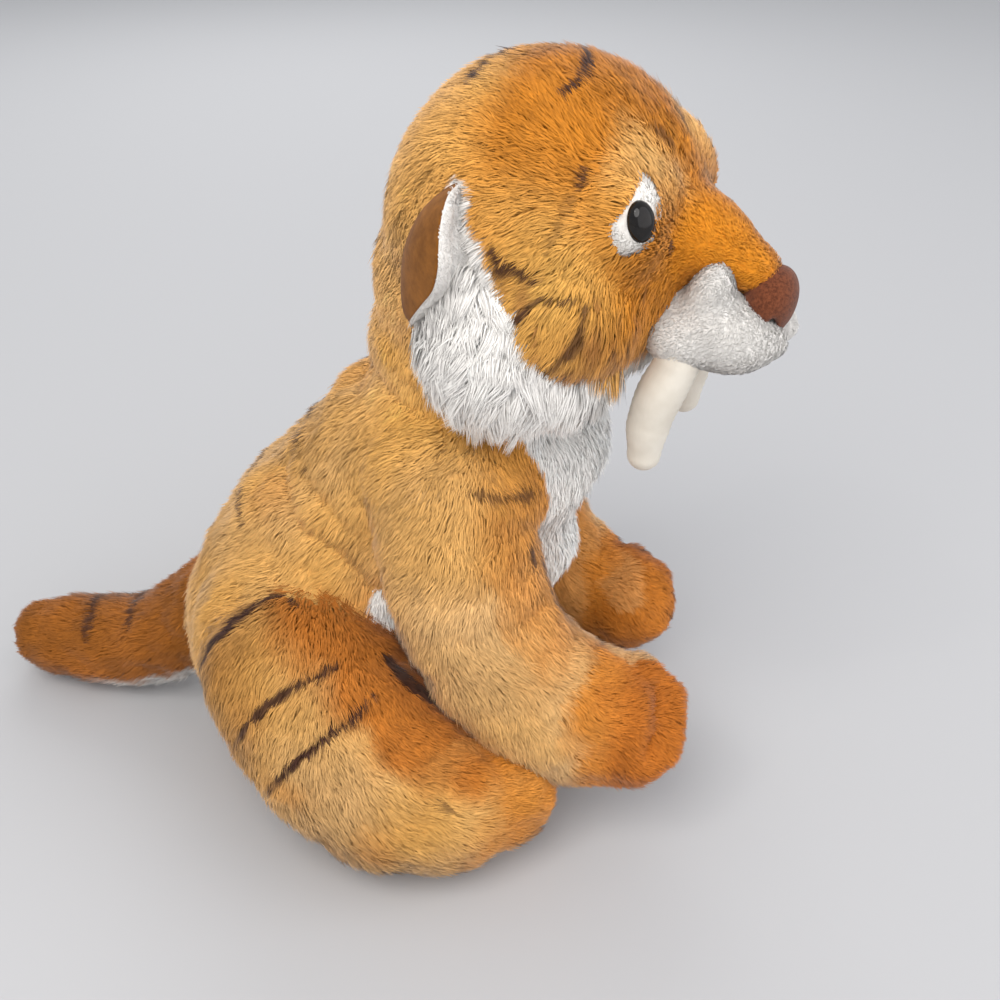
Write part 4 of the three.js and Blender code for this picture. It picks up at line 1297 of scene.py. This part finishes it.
def nose():
    g, faces = sphere_grid(96, 72)
    phi = g[:, 0] * math.pi
    x, y, z = np.sin(phi) * np.cos(g[:, 1]), np.sin(phi) * np.sin(g[:, 1]), np.cos(phi)
    # broad above, narrow below, flattened in front
    wide = 14.2 * (0.66 + 0.34 * smoothstep(-0.95, 0.5, z))
    q = np.stack((x * wide, np.where(y > 0, y * 9.0, y * 9.6), z * 13.4), 1)
    # nostrils: comma-shaped dips low on each side, with a groove between them
    az, el = np.arctan2(x, y), np.arcsin(np.clip(z, -1, 1))
    unit = q / np.linalg.norm(q, axis=1, keepdims=True)
    for sx in (-1, 1):
        a = np.hypot((az - sx * (0.92 + 0.25 * (el + 0.3))) / 0.2, (el + 0.3) / 0.32)
        q = q - unit * (4.2 * np.exp(-(a**4)))[:, None]
    groove = np.exp(-((q[:, 0] / 0.9) ** 2)) * smoothstep(-2.0, -5.0, q[:, 2])
    q[:, 1] -= np.where(y > 0, 1.1 * groove, 0)
    t = math.radians(-18)
    c, sn = math.cos(t), math.sin(t)
    q = np.stack((q[:, 0], c * q[:, 1] - sn * q[:, 2], sn * q[:, 1] + c * q[:, 2]), 1)
    o = mesh_object("nose_velour", W(q + (0, 91.6, 226.0)), faces)
    outward(o)
    return o


FANG = [((-21, 69, 218), 6.6), ((-22, 67.5, 208), 7.9), ((-23.6, 63.2, 197), 8.3), ((-24, 60.0, 185), 7.7), ((-24, 59.0, 172.6), 6.0)]


def fang(side, name):
    flip = 1 if side < 0 else -1
    st = [((q[0][0] * flip, q[0][1], q[0][2]), q[1], q[1]) for q in FANG]
    p, faces = loft(st, 0.0, around=48, along=96, cap=0.12)
    pos, _ = catmull([q[0] for q in st], np.linspace(0, 1, 60))
    # the seam runs down the front and the back as a fine groove, with slight puckers
    d = ((p[:, None, :] - pos[None]) ** 2).sum(2).argmin(1)
    rad = p - pos[d]
    ang = np.arctan2(rad[:, 0], rad[:, 1])
    seam = np.exp(-((np.minimum(np.abs(ang), math.pi - np.abs(ang)) / 0.09) ** 2))
    unit = rad / (np.linalg.norm(rad, axis=1, keepdims=True) + 1e-9)
    pucker = 0.16 * np.sin(p[:, 2] * 2.1) * np.exp(-((np.minimum(np.abs(ang), math.pi - np.abs(ang)) / 0.35) ** 2))
    p = p - unit * (0.38 * seam + pucker)[:, None]
    o = mesh_object("fang_cloth_" + name, W(p), faces)
    outward(o)
    return o


FACE = {"nose": nose()}
for name, side in (("right", -1), ("left", 1)):
    FACE["ear_front_" + name], FACE["ear_back_" + name] = ear(side, name)
    FACE["patch_" + name] = patch(side, name)
    FACE["eye_" + name] = dome(side, name)
    FACE["fang_" + name] = fang(side, name)


def short_pile(key, name, per_mm2, length, colour, seed, keep=None, rise=(46, 16), wide=0.4, down=(0, -0.3, -1)):
    o = FACE[key]
    root, nor, _ = scatter(o, per_mm2 * DENSITY, seed)
    if keep is not None:
        k = keep(root, nor)
        root, nor = root[k], nor[k]
    n = len(root)
    f = dict(
        dir=base_dir(down, n), len=np.full(n, length), rise0=np.full(n, float(rise[0])), rise1=np.full(n, float(rise[1])),
        wide=np.full(n, wide * (1.3 if DENSITY < 1 else 1)), col=np.tile(colour, (n, 1)), head=True, floor=False,
    )
    PILES[key] = [pile_mesh(name, root, nor, f, seed, 16, 0.45)]


for name, side in (("right", -1), ("left", 1)):
    out = EYE_OUT * np.array((1.0 if side < 0 else -1.0, 1, 1))
    eye = (EYE - EYE_A * (4.2 if side < 0 else 5.2)) * np.array((1.0 if side < 0 else -1.0, 1, 1))
    short_pile(
        "patch_" + name, "pile_eye_patch_" + name, 6.0, 1.7, WHITE, 91,
        keep=lambda r, n, out=out, eye=eye: ((n @ out) > 0.1) & (np.linalg.norm((r - eye) - ((r - eye) @ out)[:, None] * out, axis=1) > 6.2),
        down=(0, -0.6, 0.5),
    )
    short_pile(
        "ear_front_" + name, "pile_ear_front_" + name, 5.0, 1.3, WHITE, 95,
        keep=lambda r, n, side=side: (n[:, 1] > 0.0) & (n[:, 0] * side > -0.3), wide=0.35, rise=(26, 4),
    )
for o in FACE.values():
    set_points(o, turned_head(points(o)))

# ------------------------------------------------------------------ materials
def material(name, colour, roughness=0.9, sheen=0.0, build=None):
    m = bpy.data.materials.new(name)
    m.use_nodes = True
    b = m.node_tree.nodes["Principled BSDF"]
    b.inputs["Base Color"].default_value = (*colour, 1)
    b.inputs["Roughness"].default_value = roughness
    b.inputs["Sheen Weight"].default_value = sheen
    if build:
        build(m.node_tree, b)
    return m


def pile_nodes(nt, b):
    a = nt.nodes.new("ShaderNodeAttribute")
    a.attribute_name = "Col"
    tc = nt.nodes.new("ShaderNodeTexCoord")
    no = nt.nodes.new("ShaderNodeTexNoise")
    no.inputs["Scale"].default_value = 420.0
    no.inputs["Detail"].default_value = 3.0
    nt.links.new(tc.outputs["Object"], no.inputs["Vector"])
    ramp = nt.nodes.new("ShaderNodeMapRange")
    ramp.inputs["From Min"].default_value = 0.3
    ramp.inputs["From Max"].default_value = 0.7
    ramp.inputs["To Min"].default_value = 0.91
    ramp.inputs["To Max"].default_value = 1.09
    nt.links.new(no.outputs["Fac"], ramp.inputs["Value"])
    hsv = nt.nodes.new("ShaderNodeHueSaturation")
    nt.links.new(ramp.outputs["Result"], hsv.inputs["Value"])
    nt.links.new(a.outputs["Color"], hsv.inputs["Color"])
    nt.links.new(hsv.outputs["Color"], b.inputs["Base Color"])
    b.inputs["Specular IOR Level"].default_value = 0.2
    lay = nt.nodes.new("ShaderNodeAttribute")
    lay.attribute_name = "Lay"
    vt = nt.nodes.new("ShaderNodeVectorTransform")
    vt.vector_type = "NORMAL"
    vt.convert_from, vt.convert_to = "OBJECT", "WORLD"
    nt.links.new(lay.outputs["Vector"], vt.inputs["Vector"])
    nt.links.new(vt.outputs["Vector"], b.inputs["Normal"])


pile_mat = material("plush_pile", (0.6, 0.3, 0.1), 0.75, 0.2, pile_nodes)
white_pile_mat = material("white_pile", (0.8, 0.8, 0.78), 0.8, 0.2, pile_nodes)

def noise_node(nt, scale, detail=4.0, rough=0.6, coord="Object"):
    tc = nt.nodes.new("ShaderNodeTexCoord")
    no = nt.nodes.new("ShaderNodeTexNoise")
    no.inputs["Scale"].default_value = scale
    no.inputs["Detail"].default_value = detail
    no.inputs["Roughness"].default_value = rough
    nt.links.new(tc.outputs[coord], no.inputs["Vector"])
    return no


def two_tone(nt, b, fac, dark, light, lo=0.35, hi=0.65):
    r = nt.nodes.new("ShaderNodeValToRGB")
    r.color_ramp.elements[0].position, r.color_ramp.elements[1].position = lo, hi
    r.color_ramp.elements[0].color = (*dark, 1)
    r.color_ramp.elements[1].color = (*light, 1)
    nt.links.new(fac, r.inputs["Fac"])
    nt.links.new(r.outputs["Color"], b.inputs["Base Color"])
    return r


def bumped(nt, b, height, strength, distance):
    k = nt.nodes.new("ShaderNodeBump")
    k.inputs["Strength"].default_value = strength
    k.inputs["Distance"].default_value = distance
    nt.links.new(height, k.inputs["Height"])
    nt.links.new(k.outputs["Normal"], b.inputs["Normal"])


def suede_nodes(nt, b):
    no = noise_node(nt, 260, 6, 0.7)
    big = noise_node(nt, 60, 2, 0.5)
    m = nt.nodes.new("ShaderNodeMath")
    m.operation = "MULTIPLY_ADD"
    m.inputs[1].default_value = 0.55
    nt.links.new(no.outputs["Fac"], m.inputs[0])
    h = nt.nodes.new("ShaderNodeMath")
    h.operation = "MULTIPLY"
    h.inputs[1].default_value = 0.45
    nt.links.new(big.outputs["Fac"], h.inputs[0])
    nt.links.new(h.outputs[0], m.inputs[2])
    two_tone(nt, b, m.outputs[0], srgb(106, 62, 14), srgb(146, 92, 32))
    bumped(nt, b, no.outputs["Fac"], 0.35, 0.0004)
    b.inputs["Specular IOR Level"].default_value = 0.25


def velour_nodes(nt, b):
    no = noise_node(nt, 900, 4, 0.7)
    two_tone(nt, b, no.outputs["Fac"], srgb(80, 40, 22), srgb(120, 66, 40))
    bumped(nt, b, no.outputs["Fac"], 0.5, 0.0003)
    b.inputs["Specular IOR Level"].default_value = 0.2


def weave_nodes(nt, b):
    tc = nt.nodes.new("ShaderNodeTexCoord")
    waves = []
    for axis in ("X", "Z"):
        w = nt.nodes.new("ShaderNodeTexWave")
        w.bands_direction = axis
        w.inputs["Scale"].default_value = 620.0
        w.inputs["Distortion"].default_value = 1.2
        w.inputs["Detail"].default_value = 1.0
        nt.links.new(tc.outputs["Object"], w.inputs["Vector"])
        waves.append(w)
    m = nt.nodes.new("ShaderNodeMath")
    m.operation = "MULTIPLY"
    nt.links.new(waves[0].outputs["Fac"], m.inputs[0])
    nt.links.new(waves[1].outputs["Fac"], m.inputs[1])
    no = noise_node(nt, 120, 3, 0.5)
    two_tone(nt, b, no.outputs["Fac"], srgb(206, 198, 184), srgb(218, 211, 198), 0.3, 0.7)
    bumped(nt, b, m.outputs[0], 0.12, 0.0002)
    b.inputs["Specular IOR Level"].default_value = 0.3


def eye_nodes(nt, b):
    no = noise_node(nt, 300, 2, 0.5)
    two_tone(nt, b, no.outputs["Fac"], (0.006, 0.005, 0.005), (0.012, 0.010, 0.009))
    r = nt.nodes.new("ShaderNodeMapRange")
    r.inputs["To Min"].default_value = 0.04
    r.inputs["To Max"].default_value = 0.10
    nt.links.new(no.outputs["Fac"], r.inputs["Value"])
    nt.links.new(r.outputs["Result"], b.inputs["Roughness"])
    b.inputs["Specular IOR Level"].default_value = 0.3


def white_cloth_nodes(nt, b):
    no = noise_node(nt, 500, 5, 0.7)
    two_tone(nt, b, no.outputs["Fac"], srgb(212, 207, 200), srgb(236, 232, 226))
    bumped(nt, b, no.outputs["Fac"], 0.4, 0.0004)
    b.inputs["Specular IOR Level"].default_value = 0.2


suede = material("ear_suede", srgb(130, 78, 24), 0.95, 0.05, suede_nodes)
velour = material("nose_velour", srgb(100, 54, 32), 0.9, 0.12, velour_nodes)
fang_cloth = material("fang_cloth", srgb(188, 184, 174), 0.75, 0.1, weave_nodes)
eye_black = material("eye_black", (0.01, 0.009, 0.008), 0.06, 0.0, eye_nodes)
white_cloth = material("white_cloth", srgb(215, 211, 205), 0.9, 0.2, white_cloth_nodes)

BODY = {"torso": "torso", "neck": "neck", "head": "head", "muzzle": "head", "ruff_right": "head", "ruff_left": "head"}

for key, o in skins.items():
    o.data.materials.append(white_pile_mat if key in ("muzzle", "ruff_right", "ruff_left") else pile_mat)
    for q in [o] + PILES[key]:
        if q is not o:
            q.data.materials.append(o.data.materials[0])
        if key in LIMB_BLEND:
            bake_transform(q)
        else:
            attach(q, BODY[key])

FACE["nose"].data.materials.append(velour)
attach(FACE["nose"], "head")
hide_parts("nose")
for name in ("right", "left"):
    for key, mat, body, node, slot_name, fill in (
        ("ear_front_", white_cloth, "ear_", "ear_front_", "white_fur", 0.4),
        ("ear_back_", suede, "ear_", "ear_back_", "ear_suede", 0.4),
        ("patch_", white_cloth, "head", "eye_patch_", "white_fur", 0.5),
        ("eye_", eye_black, "head", "eye_", "eye_plastic", None),
        ("fang_", fang_cloth, "tooth_", "sabre_tooth_", "tooth_cloth", 0.95),
    ):
        o = FACE[key + name]
        o.data.materials.append(mat)
        where = body if body == "head" else body + name
        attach(o, where)
        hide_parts(node + name)
        for q in PILES.get(key + name, []):
            q.data.materials.append(white_pile_mat)
            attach(q, where)

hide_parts("body_shell", "body_filling", "pellet_pouch", "chest_bib")
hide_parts("neck_sleeve", "neck_filling")
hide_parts("head_shell", "head_filling", "snout_bridge", "cheek_right", "cheek_left", "eye_washer_right", "eye_washer_left")
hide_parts("whisker_pad_right", "whisker_pad_left", "chin")
for side in ("right", "left"):
    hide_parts("front_leg_" + side, "front_leg_filling_" + side)
    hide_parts("hind_leg_" + side, "hind_leg_filling_" + side)
    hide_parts("ruff_" + side)
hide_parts("tail_sleeve", "tail_filling", "tail_underside")

# ------------------------------------------------------------------ camera, light, floor
cam = bpy.data.cameras.new("camera")
cam.sensor_width = 36.0
cam.lens = 18.0 / math.tan(math.radians(43.0) / 2)
cam.dof.use_dof = False
camera = bpy.data.objects.new("camera", cam)
bpy.context.scene.collection.objects.link(camera)
a, e = math.radians(10.0), math.radians(32.0)
forward = Vector((math.cos(a) * math.cos(e), math.sin(a) * math.cos(e), -math.sin(e)))
camera.location = (-0.4333, -0.1524, 0.396)
camera.rotation_mode = "QUATERNION"
camera.rotation_quaternion = forward.to_track_quat("-Z", "Y")
cam.clip_start, cam.clip_end = 0.01, 50
bpy.context.scene.camera = camera
bpy.context.scene.view_settings.view_transform = "Standard"

floor = mesh_object("floor", [(-3, -3, 0), (3, -3, 0), (3, 3, 0), (-3, 3, 0)], [(0, 1, 2, 3)], False)
floor.data.materials.append(material("floor_pale", (0.5, 0.5, 0.51), 0.9))


def area_light(name, where, target, size, power, colour=(1, 1, 1)):
    l = bpy.data.lights.new(name, "AREA")
    l.shape = "DISK"
    l.size = size
    l.energy = power
    l.color = colour
    o = bpy.data.objects.new(name, l)
    o.location = where
    o.rotation_mode = "QUATERNION"
    o.rotation_quaternion = (Vector(target) - Vector(where)).to_track_quat("-Z", "Y")
    bpy.context.scene.collection.objects.link(o)
    return o


area_light("key", (-0.98, 0.12, 1.36), (0, -0.05, 0.12), 1.1, 13.6, (1.0, 0.97, 0.93))
area_light("spark", (-0.84, 0.47, 1.42), (0, -0.05, 0.12), 0.12, 0.7, (1.0, 0.98, 0.95))
area_light("fill", (-0.9, -1.4, 0.7), (0, -0.05, 0.12), 4.0, 40, (0.99, 0.98, 1.0))
area_light("back", (1.3, 0.4, 1.0), (0, -0.05, 0.12), 1.2, 7, (1.0, 1.0, 1.0))
world = bpy.data.worlds.new("world")
bpy.context.scene.world = world
world.use_nodes = True
world.node_tree.nodes["Background"].inputs["Color"].default_value = (0.8, 0.82, 0.85, 1)
world.node_tree.nodes["Background"].inputs["Strength"].default_value = 0.78

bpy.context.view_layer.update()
print("scene built in", round(time.perf_counter() - T0, 1), "s")
